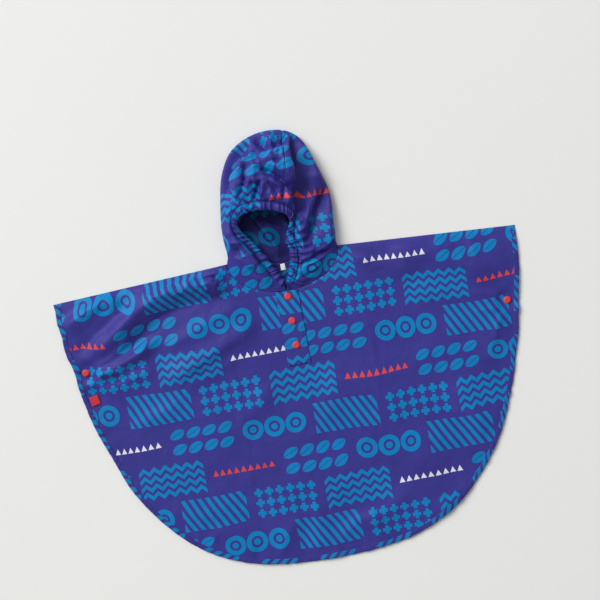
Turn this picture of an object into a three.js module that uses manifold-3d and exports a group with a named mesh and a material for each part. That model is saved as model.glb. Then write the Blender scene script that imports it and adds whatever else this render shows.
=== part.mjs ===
// A child's hooded rain poncho, laid flat on a table with its front up and its hood open.
// Millimetres, +Z up. The origin is on the table under the front neck point: +Y runs to the hood
// and +X to the sleeve on the right as seen from above.
import * as THREE from "three";
import Module from "manifold-3d";
import { mergeVertices } from "three/addons/utils/BufferGeometryUtils.js";

const wasm = await Module();
wasm.setup();

// Cloth: the solids stand for proofed nylon, so they are thicker than the real cloth
const wall = 1.2;
const seamGap = 0.3;
const layerLift = wall + seamGap; // underside of the cloth that lies on one other layer
const bindingWall = 0.9;

// Body
const sleeveTipHalf = 390;
const sleeveTipY = 43;
const neckHalf = 94;
const neckPointY = 60;
const frontNeckDepth = 60;
const backNeckDepth = 13;
const bindingWidth = 7.6;

// Half width of the body at each depth below the sleeve tips
const bodyOutline = [
  { down: 0, half: sleeveTipHalf },
  { down: 60, half: 386 },
  { down: 130, half: 374 },
  { down: 200, half: 360 },
  { down: 270, half: 337 },
  { down: 340, half: 306 },
  { down: 400, half: 262 },
  { down: 450, half: 205 },
  { down: 482, half: 130 },
  { down: 495, half: 0 },
];

// Folds of the front: middle, the ridge's direction in degrees from +X, its half length, its half
// widths on the left and on the right of that direction, and its height
const frontFolds = [
  { name: "left sleeve ridge", x: -288, y: -10, turn: 20, long: 88, left: 20, right: 28, high: 9 },
  { name: "left tip ridge", x: -340, y: 6, turn: 16, long: 36, left: 16, right: 18, high: 4 },
  { name: "ridge over left snap", x: -312, y: -58, turn: 14, long: 66, left: 20, right: 18, high: 6 },
  { name: "ridge under left snap", x: -272, y: -104, turn: 18, long: 76, left: 20, right: 26, high: 6 },
  { name: "left chest ridge", x: -172, y: -92, turn: 18, long: 92, left: 30, right: 24, high: 5 },
  { name: "left neck ridge", x: -150, y: 2, turn: 10, long: 70, left: 22, right: 24, high: 4 },
  { name: "right neck ridge", x: 165, y: -4, turn: -8, long: 84, left: 26, right: 24, high: 4 },
  { name: "right sleeve ridge", x: 290, y: -6, turn: 30, long: 64, left: 28, right: 22, high: 5 },
  { name: "right snap ridge", x: 330, y: -56, turn: 14, long: 44, left: 18, right: 18, high: 5 },
  { name: "ridge below right snap", x: 318, y: -124, turn: 64, long: 70, left: 22, right: 18, high: 4 },
  { name: "left hem ridge", x: -150, y: -352, turn: 52, long: 70, left: 22, right: 28, high: 4 },
  { name: "middle hem ridge", x: -20, y: -376, turn: 82, long: 70, left: 26, right: 22, high: 4 },
  { name: "right hem ridge", x: 84, y: -388, turn: 36, long: 64, left: 22, right: 30, high: 5 },
  { name: "right side ridge", x: 236, y: -240, turn: 126, long: 80, left: 28, right: 22, high: 4 },
  { name: "left packing crease", x: -113, y: -190, turn: 90, long: 140, left: 16, right: 20, high: 2 },
  { name: "right packing crease", x: 119, y: -190, turn: 90, long: 140, left: 20, right: 16, high: 2 },
];
const hemWaves = 11;
const hemWaveHeight = 2.4;
const hemWaveFrom = 0.72; // share of the way from neck to hem where the waves begin

// Places where the front is held down flat on the back: middle, half sizes
const heldDown = [
  { name: "placket", x: -2.5, y: -60, halfX: 34, halfY: 84 },
  { name: "left snap", x: -356, y: -78, halfX: 15, halfY: 15 },
  { name: "right snap", x: 357, y: -78, halfX: 15, halfY: 15 },
  { name: "tag", x: -350, y: -126, halfX: 16, halfY: 14 },
];

// Front placket and press studs
const placketX = -2.5;
const placketWidth = 38;
const placketLength = 124;
const underPlacketWidth = 30;
const underPlacketLength = 116;
const studRadius = 6.2;
const studHeight = 2.6;
const studBottomFace = 5.6; // radius of the flat face that lies on the cloth
const placketStuds = [
  { name: "stud_neck", y: -10 },
  { name: "stud_middle", y: -51 },
  { name: "stud_low", y: -92 },
];
const sideStuds = [
  { name: "stud_side_left", x: -356, y: -78 },
  { name: "stud_side_right", x: 357, y: -78 },
];

// Labels
const tagSize = { across: 15, along: 16, thick: 1.0 };
const tagPlace = { x: -348.8, y: -126, turn: 12 };
const neckLabel = { x: -2, y: 40, width: 8, length: 11, thick: 1.0 };

// Hood: one row for each section, going round the mouth from the left of the front neck. rim is the
// mouth's edge, crest the top of the cloth, edge its fold at the outline, and neck its place on the
// neck seam: 0 front middle, 1 left neck point, 2 back middle, 3 right neck point, 4 front middle
const hoodSections = [
  { name: "front neck left", rim: [-3.6, 15, 4.6], crest: [-4.4, 9, 5.2], edge: [-4.7, 5, 4.4], neck: 0.032 },
  { name: "left lapel", rim: [-12, 36, 8], crest: [-27, 31, 12], edge: [-46, 21, 7.5], neck: 0.5 },
  { name: "left neck", rim: [-25, 60, 13], crest: [-48, 54, 19], edge: [-75, 46, 10], neck: 0.82 },
  { name: "left neck point", rim: [-39, 82, 19], crest: [-63, 78, 25], edge: [-88, 74, 11], neck: 1 },
  { name: "left side", rim: [-56, 104, 27], crest: [-74, 104, 31], edge: [-92, 106, 12], neck: 1.2 },
  { name: "left valley", rim: [-63, 120, 33], crest: [-76, 134, 29], edge: [-88, 152, 11], neck: 1.38 },
  { name: "crown left fold", rim: [-57, 132, 38], crest: [-66, 166, 43], edge: [-75, 210, 11], neck: 1.55 },
  { name: "crown left", rim: [-40, 137, 42], crest: [-43, 188, 49], edge: [-52, 246, 11], neck: 1.75 },
  { name: "crown middle", rim: [-12, 135, 43], crest: [-4, 198, 48], edge: [-8, 266, 11], neck: 1.92 },
  { name: "crown seam", rim: [13, 125.5, 41], crest: [26, 192, 49], edge: [36, 264, 11], neck: 2.1 },
  { name: "crown right fold", rim: [20, 119, 37], crest: [42, 165, 40], edge: [62, 246, 11], neck: 2.3 },
  { name: "right valley", rim: [22, 111, 31], crest: [47, 140, 26], edge: [80, 204, 10], neck: 2.48 },
  { name: "right side high", rim: [17, 101, 25], crest: [56, 122, 30], edge: [95, 150, 12], neck: 2.64 },
  { name: "right side low", rim: [11, 84, 19], crest: [54, 90, 29], edge: [94, 98, 12], neck: 2.82 },
  { name: "right neck point", rim: [13, 66, 14], crest: [52, 62, 21], edge: [91, 70, 10], neck: 3 },
  { name: "right neck", rim: [11, 45, 10.5], crest: [36, 38, 15], edge: [68, 36, 9], neck: 3.2 },
  { name: "right lapel", rim: [5, 29, 8], crest: [18, 20, 10], edge: [36, 13, 6.5], neck: 3.58 },
  { name: "front neck right", rim: [-0.4, 15, 4.6], crest: [-0.6, 9, 5.2], edge: [-0.7, 5, 4.4], neck: 4 },
];

// Folds of the hood's upper side, with the columns of the front's
const hoodFolds = [
  { name: "crown's right edge", x: 40, y: 192, turn: 82, long: 56, left: 16, right: 7, high: 7 },
  { name: "valley beside the crown", x: 56, y: 188, turn: 82, long: 54, left: 9, right: 13, high: -12 },
  { name: "low valley beside the mouth", x: 40, y: 112, turn: 76, long: 34, left: 8, right: 12, high: -7 },
  { name: "crown's diagonal", x: 12, y: 186, turn: -42, long: 34, left: 8, right: 14, high: 5 },
  { name: "crown's upper left edge", x: -42, y: 220, turn: 48, long: 40, left: 8, right: 20, high: 9 },
  { name: "upper left shelf", x: -57, y: 232, turn: 48, long: 42, left: 12, right: 8, high: -8 },
  { name: "crown's left edge", x: -64, y: 168, turn: 96, long: 32, left: 8, right: 16, high: 7 },
  { name: "left shelf", x: -79, y: 170, turn: 96, long: 36, left: 8, right: 8, high: -7 },
  { name: "brow fold", x: -42, y: 176, turn: 64, long: 24, left: 8, right: 8, high: 4 },
  { name: "right diagonal", x: 62, y: 118, turn: 48, long: 44, left: 14, right: 8, high: 7 },
  { name: "top pleat", x: -2, y: 240, turn: 10, long: 34, left: 10, right: 10, high: 4 },
  { name: "left lobe's edge", x: -37, y: 54, turn: 100, long: 30, left: 14, right: 7, high: 4 },
  { name: "right neck roll", x: 60, y: 34, turn: 20, long: 34, left: 6, right: 6, high: -5 },
];
const hoodMiddle = new THREE.Vector3(0, 125, 0);
const underIn = 8; // the cloth meets the table this far inside its outline
const brow = { out: 0.62, down: 0.42 }; // shares of the way from crest to edge
const turnsUnder = { from: 0.98, to: 1.16 }; // places on the neck seam where the hood turns under
const neckDrop = 0.12; // the seam drops from front to back over this much of the neck seam
const seamSection = 9; // the centre seam follows this section, counted from 0
const casingWidth = 14;
const casingWall = 3;
const casingPuff = 0.9;
const casingGathers = 36;
const gatherHeight = 2;
const gatherReach = 42; // the gathers die out this far from the mouth's edge

// Mesh density
const bodyColumns = 62;
const bodyRows = 17;
const backColumns = 48;
const backRows = 5;
const hoodColumns = { left: 46, right: 42 };
const hoodRows = 19;
const casingColumns = 144;
const casingRows = 3;
const placketRows = 12;
const placketColumns = 4;

const vec = (x, y, z = 0) => new THREE.Vector3(x, y, z);
const mix = (a, b, t) => a + (b - a) * t;
const smoothStep = (from, to, x) => THREE.MathUtils.smoothstep(x, from, to);
const clamp = THREE.MathUtils.clamp;
const rad = THREE.MathUtils.degToRad;

// The geometry of a closed surface, its faces turned outwards
function closedGeometry(position, index) {
  const geometry = new THREE.BufferGeometry();
  geometry.setAttribute("position", new THREE.Float32BufferAttribute(position, 3));
  const at = (i) => vec(...position.slice(3 * i, 3 * i + 3));
  let volume = 0;
  for (let i = 0; i < index.length; i += 3) {
    volume += at(index[i]).dot(at(index[i + 1]).cross(at(index[i + 2])));
  }
  if (volume < 0) index.reverse();
  geometry.setIndex(index);
  return geometry;
}

// A closed wall between two sheets of points with the same rows and columns
function wallBetween(top, bottom) {
  const rows = top.length;
  const columns = top[0].length;
  const position = [top, bottom].flat(2).flatMap((p) => [p.x, p.y, p.z]);
  const index = [];
  const at = (sheet, i, j) => (sheet * rows + i) * columns + j;
  const quad = (a, b, c, d) => index.push(a, b, c, a, c, d);
  for (let i = 0; i < rows - 1; i++) {
    for (let j = 0; j < columns - 1; j++) {
      quad(at(0, i, j), at(0, i, j + 1), at(0, i + 1, j + 1), at(0, i + 1, j));
      index.push(at(1, i, j), at(1, i + 1, j + 1), at(1, i, j + 1));
      index.push(at(1, i, j), at(1, i + 1, j), at(1, i + 1, j + 1));
    }
  }
  const last = { i: rows - 1, j: columns - 1 };
  for (let j = 0; j < last.j; j++) {
    quad(at(0, 0, j + 1), at(0, 0, j), at(1, 0, j), at(1, 0, j + 1));
    quad(at(0, last.i, j), at(0, last.i, j + 1), at(1, last.i, j + 1), at(1, last.i, j));
  }
  for (let i = 0; i < last.i; i++) {
    quad(at(0, i, 0), at(0, i + 1, 0), at(1, i + 1, 0), at(1, i, 0));
    quad(at(0, i + 1, last.j), at(0, i, last.j), at(1, i, last.j), at(1, i + 1, last.j));
  }
  return closedGeometry(position, index);
}

// A sheet of points, from a function of the shares down its rows and along its columns
function sheetOf(rows, columns, pointAt) {
  const sheet = [];
  for (let i = 0; i <= rows; i++) {
    const row = [];
    for (let j = 0; j <= columns; j++) row.push(pointAt(i / rows, j / columns));
    sheet.push(row);
  }
  return sheet;
}

const raised = (sheet, by) => sheet.map((row) => row.map((p) => vec(p.x, p.y, p.z + by)));

// A closed solid through rings of points, each the outline of one cross section. corner is the
// ring's point that sees all the others, from which its two ends are closed
function loftRings(rings, corner) {
  const count = rings[0].length;
  const position = rings.flat().flatMap((p) => [p.x, p.y, p.z]);
  const index = [];
  for (let i = 0; i < rings.length - 1; i++) {
    for (let j = 0; j < count; j++) {
      const [a, b] = [i * count + j, i * count + ((j + 1) % count)];
      index.push(a, b, b + count, a, b + count, a + count);
    }
  }
  const end = (rings.length - 1) * count;
  for (let k = 1; k < count - 1; k++) {
    const [j, next] = [(corner + k) % count, (corner + k + 1) % count];
    index.push(corner, next, j);
    index.push(end + corner, end + j, end + next);
  }
  return closedGeometry(position, index);
}

function solidFrom(geometry) {
  const bare = geometry.clone();
  bare.deleteAttribute("normal");
  bare.deleteAttribute("uv");
  const merged = mergeVertices(bare, 1e-3);
  const mesh = { numProp: 3, vertProperties: merged.attributes.position.array };
  return new wasm.Manifold(new wasm.Mesh({ ...mesh, triVerts: new Uint32Array(merged.index.array) }));
}

function geometryFrom(solid) {
  const mesh = solid.getMesh();
  const geometry = new THREE.BufferGeometry();
  geometry.setAttribute("position", new THREE.BufferAttribute(mesh.vertProperties, 3));
  geometry.setIndex(new THREE.BufferAttribute(mesh.triVerts, 1));
  return geometry;
}

const cloth = new THREE.MeshStandardMaterial({ color: 0x3a3686, roughness: 0.6, metalness: 0 });
const trim = new THREE.MeshStandardMaterial({ color: 0x2f5fae, roughness: 0.6, metalness: 0 });
const studPlastic = new THREE.MeshStandardMaterial({ color: 0xe8433f, roughness: 0.35, metalness: 0 });
const tagCloth = new THREE.MeshStandardMaterial({ color: 0xc81e2b, roughness: 0.75, metalness: 0 });
const labelCloth = new THREE.MeshStandardMaterial({ color: 0xe9e6df, roughness: 0.8, metalness: 0 });

const poncho = new THREE.Group();
function add(name, geometry, material) {
  const mesh = new THREE.Mesh(geometry, material);
  mesh.name = name;
  poncho.add(mesh);
  return mesh;
}

// The hem's line, from the left sleeve tip round the bottom to the right one
const hemLine = new THREE.CatmullRomCurve3([
  ...bodyOutline.map((row) => vec(-row.half, sleeveTipY - row.down)),
  ...bodyOutline.slice(0, -1).reverse().map((row) => vec(row.half, sleeveTipY - row.down)),
]);
hemLine.arcLengthDivisions = 600;

// The neckline, from the left neck point at turn -1 to the right one at turn 1
const neckline = (turn, depth) =>
  vec(neckHalf * Math.sin((turn * Math.PI) / 2), neckPointY - depth * Math.cos((turn * Math.PI) / 2));

// A point of a body panel on the table: across runs from -1 to 1, and out from 0 at the neck to 1 at
// the inner edge of the binding, and to 2 at the hem
function panelPoint(across, out, neckDepth) {
  const neck = neckline(across, neckDepth);
  const hem = hemLine.getPointAt((across + 1) / 2);
  const length = neck.distanceTo(hem);
  const reach = out <= 1 ? out * (length - bindingWidth) : length - (2 - out) * bindingWidth;
  return neck.lerp(hem, reach / length);
}

function foldHeight(folds, x, y) {
  let height = 0;
  for (const fold of folds) {
    const [dx, dy] = [x - fold.x, y - fold.y];
    const [c, s] = [Math.cos(rad(fold.turn)), Math.sin(rad(fold.turn))];
    const along = (dx * c + dy * s) / fold.long;
    const across = dy * c - dx * s;
    const beside = across / (across > 0 ? fold.left : fold.right);
    height += fold.high * Math.exp(-along * along - beside * beside);
  }
  return height;
}

// Share of a fold that is left near the places that are held down
function freedom(x, y) {
  let free = 1;
  for (const held of heldDown) {
    const away = Math.hypot((x - held.x) / held.halfX, (y - held.y) / held.halfY);
    free *= smoothStep(0.95, 1.9, away);
  }
  return free;
}

// Height of the front panel's underside
function frontUnderside(point, across, out) {
  const wave = 0.5 - 0.5 * Math.cos(hemWaves * Math.PI * (across + 1 + 0.12 * Math.sin(5 * across)));
  const hem = hemWaveHeight * wave * smoothStep(hemWaveFrom, 1, Math.min(out, 1));
  const neck = smoothStep(0, 0.12, out);
  const shoulder = smoothStep(0, 0.05, 1 - Math.abs(across));
  const lift = (foldHeight(frontFolds, point.x, point.y) + hem) * freedom(point.x, point.y);
  return layerLift + lift * neck * mix(0.25, 1, shoulder);
}

function frontSheet() {
  return sheetOf(bodyRows, bodyColumns, (down, along) => {
    const out = down < 1 ? (down * bodyRows) / (bodyRows - 1) : 2;
    const across = 2 * along - 1;
    const point = panelPoint(across, out, frontNeckDepth);
    point.z = frontUnderside(point, across, out);
    return point;
  });
}

const box = (x0, x1, y0, y1, z0, z1) =>
  new THREE.BoxGeometry(x1 - x0, y1 - y0, z1 - z0).translate((x0 + x1) / 2, (y0 + y1) / 2, (z0 + z1) / 2);

// The placket's slot as a cutter that passes the panel by on three sides
function slotSolid(gap) {
  const half = underPlacketWidth / 2 - gap;
  return solidFrom(box(placketX - half, placketX + half, gap - underPlacketLength, 20, -5, 20));
}

// The front panel with the slot that the placket closes, and the under placket that fills the slot
function addFront(sheet) {
  const panel = solidFrom(wallBetween(raised(sheet, wall), sheet));
  add("front_panel", geometryFrom(panel.subtract(slotSolid(0))), cloth);
  add("placket_under", geometryFrom(panel.intersect(slotSolid(seamGap))), cloth);
}

function addBack() {
  const point = (along, out) => panelPoint(2 * along - 1, out, backNeckDepth);
  const sheet = sheetOf(backRows, backColumns, (down, along) => point(along, down));
  add("back_panel", wallBetween(raised(sheet, wall), sheet), cloth);
  const edge = sheetOf(1, backColumns, (down, along) => {
    const [inner, outer] = [point(along, 1), point(along, 2)];
    const outwards = outer.clone().sub(inner).normalize();
    const from = down ? outer : inner;
    return from.addScaledVector(outwards, down ? seamGap + bindingWall : seamGap);
  });
  add("hem_binding_back", wallBetween(raised(edge, wall), edge), trim);
}

// The front's binding lies on the panel along the hem and turns down over its edge
function addFrontBinding(sheet) {
  const low = wall + seamGap;
  const high = low + bindingWall;
  const far = seamGap + bindingWall;
  const rings = sheet[0].map((_, j) => {
    const [inner, outer] = [sheet[bodyRows - 1][j], sheet[bodyRows][j]];
    const out = vec(outer.x - inner.x, outer.y - inner.y).normalize();
    const at = (from, beyond, up) => from.clone().addScaledVector(out, beyond).add(vec(0, 0, up));
    return [
      at(inner, 0, low), at(outer, seamGap, low), at(outer, seamGap, 0),
      at(outer, far, 0), at(outer, far, high), at(inner, 0, high),
    ];
  });
  add("hem_binding_front", loftRings(rings, 1), trim);
}

// Height of the top of a made piece over a point of the table
const ray = new THREE.Raycaster();
function topOf(meshes, x, y) {
  ray.set(vec(x, y, 200), vec(0, 0, -1));
  const hits = ray.intersectObjects(meshes);
  return hits.length ? hits[0].point.z : layerLift + wall;
}

function addPlacket(under) {
  const sheet = sheetOf(placketRows, placketColumns, (down, along) => {
    const x = placketX + (along - 0.5) * placketWidth;
    const y = mix(-0.5, -placketLength, down);
    return vec(x, y, topOf(under, x, y) + seamGap);
  });
  return add("placket_upper", wallBetween(raised(sheet, wall), sheet), cloth);
}

// A press stud's cap: a low dome with a flat face underneath
function studGeometry() {
  const profile = [
    [0, 0], [studBottomFace, 0], [studRadius, 0.6], [studRadius, 1.2],
    [studRadius * 0.86, 2.0], [studRadius * 0.5, 2.45], [0, studHeight],
  ];
  const points = profile.map(([r, h]) => new THREE.Vector2(r, h));
  return new THREE.LatheGeometry(points, 18).rotateX(Math.PI / 2);
}

function addStud(name, x, y, under) {
  let seat = 0;
  for (let k = 0; k < 12; k++) {
    const turn = (k * Math.PI) / 6;
    seat = Math.max(seat, topOf(under, x + studRadius * Math.cos(turn), y + studRadius * Math.sin(turn)));
  }
  const mesh = add(name, studGeometry(), studPlastic);
  mesh.position.set(x, y, Math.max(seat, topOf(under, x, y)) + seamGap);
}

function addTag(under) {
  const [c, s] = [Math.cos(rad(tagPlace.turn)), Math.sin(rad(tagPlace.turn))];
  const sheet = sheetOf(3, 3, (down, along) => {
    const [u, v] = [(along - 0.5) * tagSize.across, (0.5 - down) * tagSize.along];
    const [x, y] = [tagPlace.x + u * c - v * s, tagPlace.y + u * s + v * c];
    return vec(x, y, topOf(under, x, y) + seamGap);
  });
  add("side_tag", wallBetween(raised(sheet, tagSize.thick), sheet), tagCloth);
}

function addNeckLabel() {
  const { x, y, width, length } = neckLabel;
  const sheet = sheetOf(2, 2, (down, along) =>
    vec(x + (along - 0.5) * width, y + (0.5 - down) * length, layerLift),
  );
  add("neck_label", wallBetween(raised(sheet, neckLabel.thick), sheet), labelCloth);
}

// The hood's place on the neck seam, a seam gap inside the panels' necklines
function neckSeam(place) {
  const back = place > 1 && place < 3;
  const depth = back ? backNeckDepth : frontNeckDepth;
  const point = neckline(back ? place - 2 : place <= 1 ? -place : 4 - place, depth);
  const inwards = vec(-point.x / neckHalf ** 2, (neckPointY - point.y) / depth ** 2).setLength(seamGap + 0.1);
  const nearest = Math.min(place - 1, 3 - place);
  const ramp = back ? 1 - smoothStep(0, neckDrop, nearest) : 1;
  return point.add(inwards).setZ((layerLift + wall) * ramp);
}

const track = (points) => new THREE.CatmullRomCurve3(points, false, "centripetal");
const hoodTracks = {
  rim: track(hoodSections.map((row) => vec(...row.rim))),
  crest: track(hoodSections.map((row) => vec(...row.crest))),
  edge: track(hoodSections.map((row) => vec(...row.edge))),
};

function neckPlaceAt(round) {
  const at = round * (hoodSections.length - 1);
  const k = Math.min(Math.floor(at), hoodSections.length - 2);
  return mix(hoodSections[k].neck, hoodSections[k + 1].neck, at - k);
}

// One section of the hood from the mouth's edge over the crest and round to the neck seam
function hoodSection(round) {
  const [rim, crest, edge] = ["rim", "crest", "edge"].map((name) => hoodTracks[name].getPoint(round));
  const place = neckPlaceAt(round);
  const neck = neckSeam(place);
  const backShare = smoothStep(turnsUnder.from, turnsUnder.to, Math.min(place, 4 - place));
  const inwards = hoodMiddle.clone().sub(edge).setZ(0).setLength(underIn);
  const under = edge.clone().add(inwards).setZ(0);
  const underFront = edge.clone().lerp(neck, 0.5);
  under.lerpVectors(underFront, under, backShare);
  const floor = under.clone().lerp(neck, 0.2);
  const fall = crest.clone().lerp(edge, brow.out).setZ(mix(crest.z, edge.z, brow.down));
  const curve = track([rim, crest, fall, edge, under, floor, neck]);
  curve.arcLengthDivisions = 240;
  return curve;
}

const gatherWave = (round) => Math.cos(2 * Math.PI * casingGathers * (round + 0.006 * Math.sin(31 * round)));

// A point of the hood's cloth before its gathers, at a distance out from the mouth's edge
function clothPoint(curve, distance) {
  const point = curve.getPointAt(clamp(distance / curve.getLength(), 0, 1));
  return point.setZ(Math.max(point.z, 0));
}

// One column of the hood's casing or side: points at the given shares of its length, with the
// cloth's outer normals
function hoodColumn(round, isCasing, shares) {
  const step = 0.002;
  const [before, here, after] = [round - step, round, round + step].map((r) => hoodSection(clamp(r, 0, 1)));
  const length = here.getLength();
  const band = casingWidth * (1 - Math.exp(-length / casingWidth)); // narrower at the front neck
  const beyond = band + seamGap + 0.1 + (1 - band / casingWidth);
  return shares.map((share) => {
    const distance = isCasing ? share * band : mix(beyond, length, share);
    const point = clothPoint(here, distance);
    const outer = clothPoint(here, Math.min(distance + 1, length));
    const out = outer.sub(clothPoint(here, Math.max(distance - 1, 0)));
    const along = clothPoint(after, distance).sub(clothPoint(before, distance));
    return { point, distance, round, toNeck: length - distance, normal: along.cross(out).normalize() };
  });
}

// Height of the hood's folds, which its mouth, its neck seam and its underside do without
function hoodFold({ point, distance, normal }) {
  const clear = smoothStep(casingWidth, casingWidth + 16, distance) * smoothStep(5, 14, point.z);
  return foldHeight(hoodFolds, point.x, point.y) * clear * smoothStep(0, 0.6, normal.z);
}

// Two sheets of the hood's cloth, its outside raised by the gathers and its inside a wall under it
function hoodWall(from, to, columns, shares, thick, raise) {
  const isCasing = thick === casingWall;
  const grid = Array.from({ length: columns + 1 }, (_, j) =>
    hoodColumn(mix(from, to, j / columns), isCasing, shares),
  );
  const sheet = (offset, lowest) =>
    shares.map((_, i) =>
      grid.map((column) => {
        const moved = column[i].point.clone().addScaledVector(column[i].normal, offset(column[i]));
        return moved.setZ(Math.max(moved.z, lowest));
      }),
    );
  return wallBetween(sheet(raise, 0), sheet((at) => raise(at) - thick, wall));
}

const sharesOf = (count, power) => Array.from({ length: count + 1 }, (_, i) => (i / count) ** power);

function addHoodSide(name, from, to, columns) {
  const reach = casingWidth + gatherReach;
  const fade = (at) => smoothStep(0, 9, at.toNeck) * (1 - smoothStep(casingWidth, reach, at.distance));
  const raise = (at) => gatherHeight * 0.5 * fade(at) * gatherWave(at.round / 2) + hoodFold(at);
  add(name, hoodWall(from, to, columns, sharesOf(hoodRows, 1.5), wall, raise), cloth);
}

function addHood() {
  const seam = seamSection / (hoodSections.length - 1);
  const halfGap = 0.0006;
  addHoodSide("hood_left", 0, seam - halfGap, hoodColumns.left);
  addHoodSide("hood_right", seam + halfGap, 1, hoodColumns.right);
  const raise = (at) => casingPuff + gatherHeight * 0.5 * gatherWave(at.round);
  add("hood_casing", hoodWall(0, 1, casingColumns, sharesOf(casingRows, 1), casingWall, raise), trim);
}

const front = frontSheet();
addBack();
addFront(front);
addFrontBinding(front);
poncho.updateMatrixWorld(true);
const frontMeshes = ["front_panel", "placket_under"].map((name) => poncho.getObjectByName(name));
const placket = addPlacket(frontMeshes);
poncho.updateMatrixWorld(true);
for (const stud of placketStuds) addStud(stud.name, placketX, stud.y, [placket]);
for (const stud of sideStuds) addStud(stud.name, stud.x, stud.y, frontMeshes);
addTag(frontMeshes);
addNeckLabel();
addHood();

export default poncho;
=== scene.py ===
import math
import bpy
import numpy as np
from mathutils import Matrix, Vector


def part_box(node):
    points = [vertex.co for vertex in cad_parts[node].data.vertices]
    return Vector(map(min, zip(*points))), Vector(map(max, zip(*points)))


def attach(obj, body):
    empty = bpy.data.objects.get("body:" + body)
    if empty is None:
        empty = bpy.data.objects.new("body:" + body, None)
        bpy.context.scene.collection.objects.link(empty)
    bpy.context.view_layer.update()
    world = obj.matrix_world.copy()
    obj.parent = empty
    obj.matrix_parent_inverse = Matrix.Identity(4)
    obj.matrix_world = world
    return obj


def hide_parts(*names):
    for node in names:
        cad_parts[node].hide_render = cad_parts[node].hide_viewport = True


# Kids rain poncho, laid flat with its front up and its hood open.
# Lengths are in millimetres until a mesh is made. +Y runs to the hood, +Z is up.

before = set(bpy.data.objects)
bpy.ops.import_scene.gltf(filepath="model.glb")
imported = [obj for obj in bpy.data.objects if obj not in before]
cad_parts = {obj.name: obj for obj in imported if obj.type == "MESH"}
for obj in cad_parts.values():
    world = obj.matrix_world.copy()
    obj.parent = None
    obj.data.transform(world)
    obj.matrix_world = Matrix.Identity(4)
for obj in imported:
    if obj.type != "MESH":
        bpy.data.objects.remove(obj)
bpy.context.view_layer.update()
toMetres = 0.001

cloth = {"wall": 1.2, "lift": 1.5, "thick": 0.5}  # the solids' wall, the front's underside, the shell

body = {
    "sleeveTipY": 43, "neckHalf": 94, "neckPointY": 60,
    "frontNeckDepth": 60, "backNeckDepth": 13, "bindingWidth": 7.6,
    # half width at each depth below the sleeve tips
    "outline": [
        (0, 390), (60, 386), (130, 374), (200, 360), (270, 337),
        (340, 306), (400, 262), (450, 205), (482, 130), (495, 0),
    ],
    "columns": 440, "rows": 100, "backColumns": 220, "backRows": 26,
    "hemWaves": 11, "hemWaveHeight": 1.3, "hemWaveFrom": 0.72,
    "noiseRun": 800,  # about half the hem's length, along which its pucker runs
    "bindingRow": -4,  # the front's row of points at the binding's inner edge
}


# Small helpers


def smooth(low, high, x):
    t = np.clip((x - low) / (high - low), 0, 1)
    return t * t * (3 - 2 * t)


# A centripetal track through points, at shares of its points' count
def trackThrough(points, at):
    points = np.asarray(points, float)
    at = np.asarray(at, float)
    ends = [2 * points[0] - points[1], 2 * points[-1] - points[-2]]
    row = np.concatenate([[ends[0]], points, [ends[1]]])
    place = at * (len(points) - 1)
    k = np.clip(np.floor(place).astype(int), 0, len(points) - 2)
    w = (place - k).reshape((-1,) + (1,) * (points.ndim - 1))
    a, b, c, d = row[k], row[k + 1], row[k + 2], row[k + 3]
    gap = [np.sqrt(np.linalg.norm(span, axis=-1, keepdims=True)) + 1e-9 for span in (b - a, c - b, d - c)]
    inSlope = ((b - a) / gap[0] - (c - a) / (gap[0] + gap[1]) + (c - b) / gap[1]) * gap[1]
    outSlope = ((c - b) / gap[1] - (d - b) / (gap[1] + gap[2]) + (d - c) / gap[2]) * gap[1]
    square = -3 * b + 3 * c - 2 * inSlope - outSlope
    cube = 2 * b - 2 * c + inSlope + outSlope
    return b + inSlope * w + square * w**2 + cube * w**3


def lengthsAlong(points):
    step = np.linalg.norm(np.diff(points, axis=0), axis=-1)
    return np.concatenate([np.zeros((1,) + step.shape[1:]), np.cumsum(step, axis=0)])


def pointsAt(points, lengths, wanted):
    return np.stack([np.interp(wanted, lengths, points[:, k]) for k in range(points.shape[1])], axis=1)


# Smooth noise from -1 to 1, its lumps about one size apart
def softNoise(x, y, size, seed):
    cells = 64  # the pattern starts again after so many lumps
    table = np.random.default_rng(seed).uniform(-1, 1, (cells, cells))
    u, v = np.asarray(x) / size + 100, np.asarray(y) / size + 100
    i, j = np.floor(u).astype(int), np.floor(v).astype(int)
    fu, fv = smooth(0, 1, u - i), smooth(0, 1, v - j)
    i, k = i % cells, (i + 1) % cells
    low, high = [table[i, row % cells] * (1 - fu) + table[k, row % cells] * fu for row in (j, j + 1)]
    return low * (1 - fv) + high * fv


# Height of folds along curved lines, each (line's points, width on its left, width on its right,
# height), where a trough's height is below zero. They die out at both ends.
def foldRelief(folds, x, y, sharpness=1.7):
    total = np.zeros(np.broadcast(x, y).shape)
    for points, left, right, high in folds:
        line = trackThrough(points, np.linspace(0, 1, 4 * len(points)))
        lengths = lengthsAlong(line)
        best, beside, place = np.full(total.shape, 1e9), np.zeros(total.shape), np.zeros(total.shape)
        for p, q, start, end in zip(line, line[1:], lengths, lengths[1:]):
            sx, sy = (q - p) / (end - start)
            t = np.clip((x - p[0]) * sx + (y - p[1]) * sy, 0, end - start)
            dx, dy = x - p[0] - t * sx, y - p[1] - t * sy
            away = np.hypot(dx, dy)
            nearer = away < best
            best = np.where(nearer, away, best)
            beside = np.where(nearer, away / np.where(sx * dy > sy * dx, left, right), beside)
            place = np.where(nearer, start + t, place)
        share = place / lengths[-1]
        fade = smooth(-0.05, 0.25, share) * smooth(1.05, 0.75, share)
        total = total + high * fade * np.exp(-((beside**2 + 0.03) ** (sharpness / 2)))
    return total


# Crumples with sharp crests from -1 to 1, where softNoise changes its sign
def crumple(x, y, size, seed):
    bend = softNoise(x, y, size * 1.6, seed + 50) * size * 0.3
    return 1 - 3.2 * np.abs(softNoise(x + bend, y - bend, size, seed))


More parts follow.
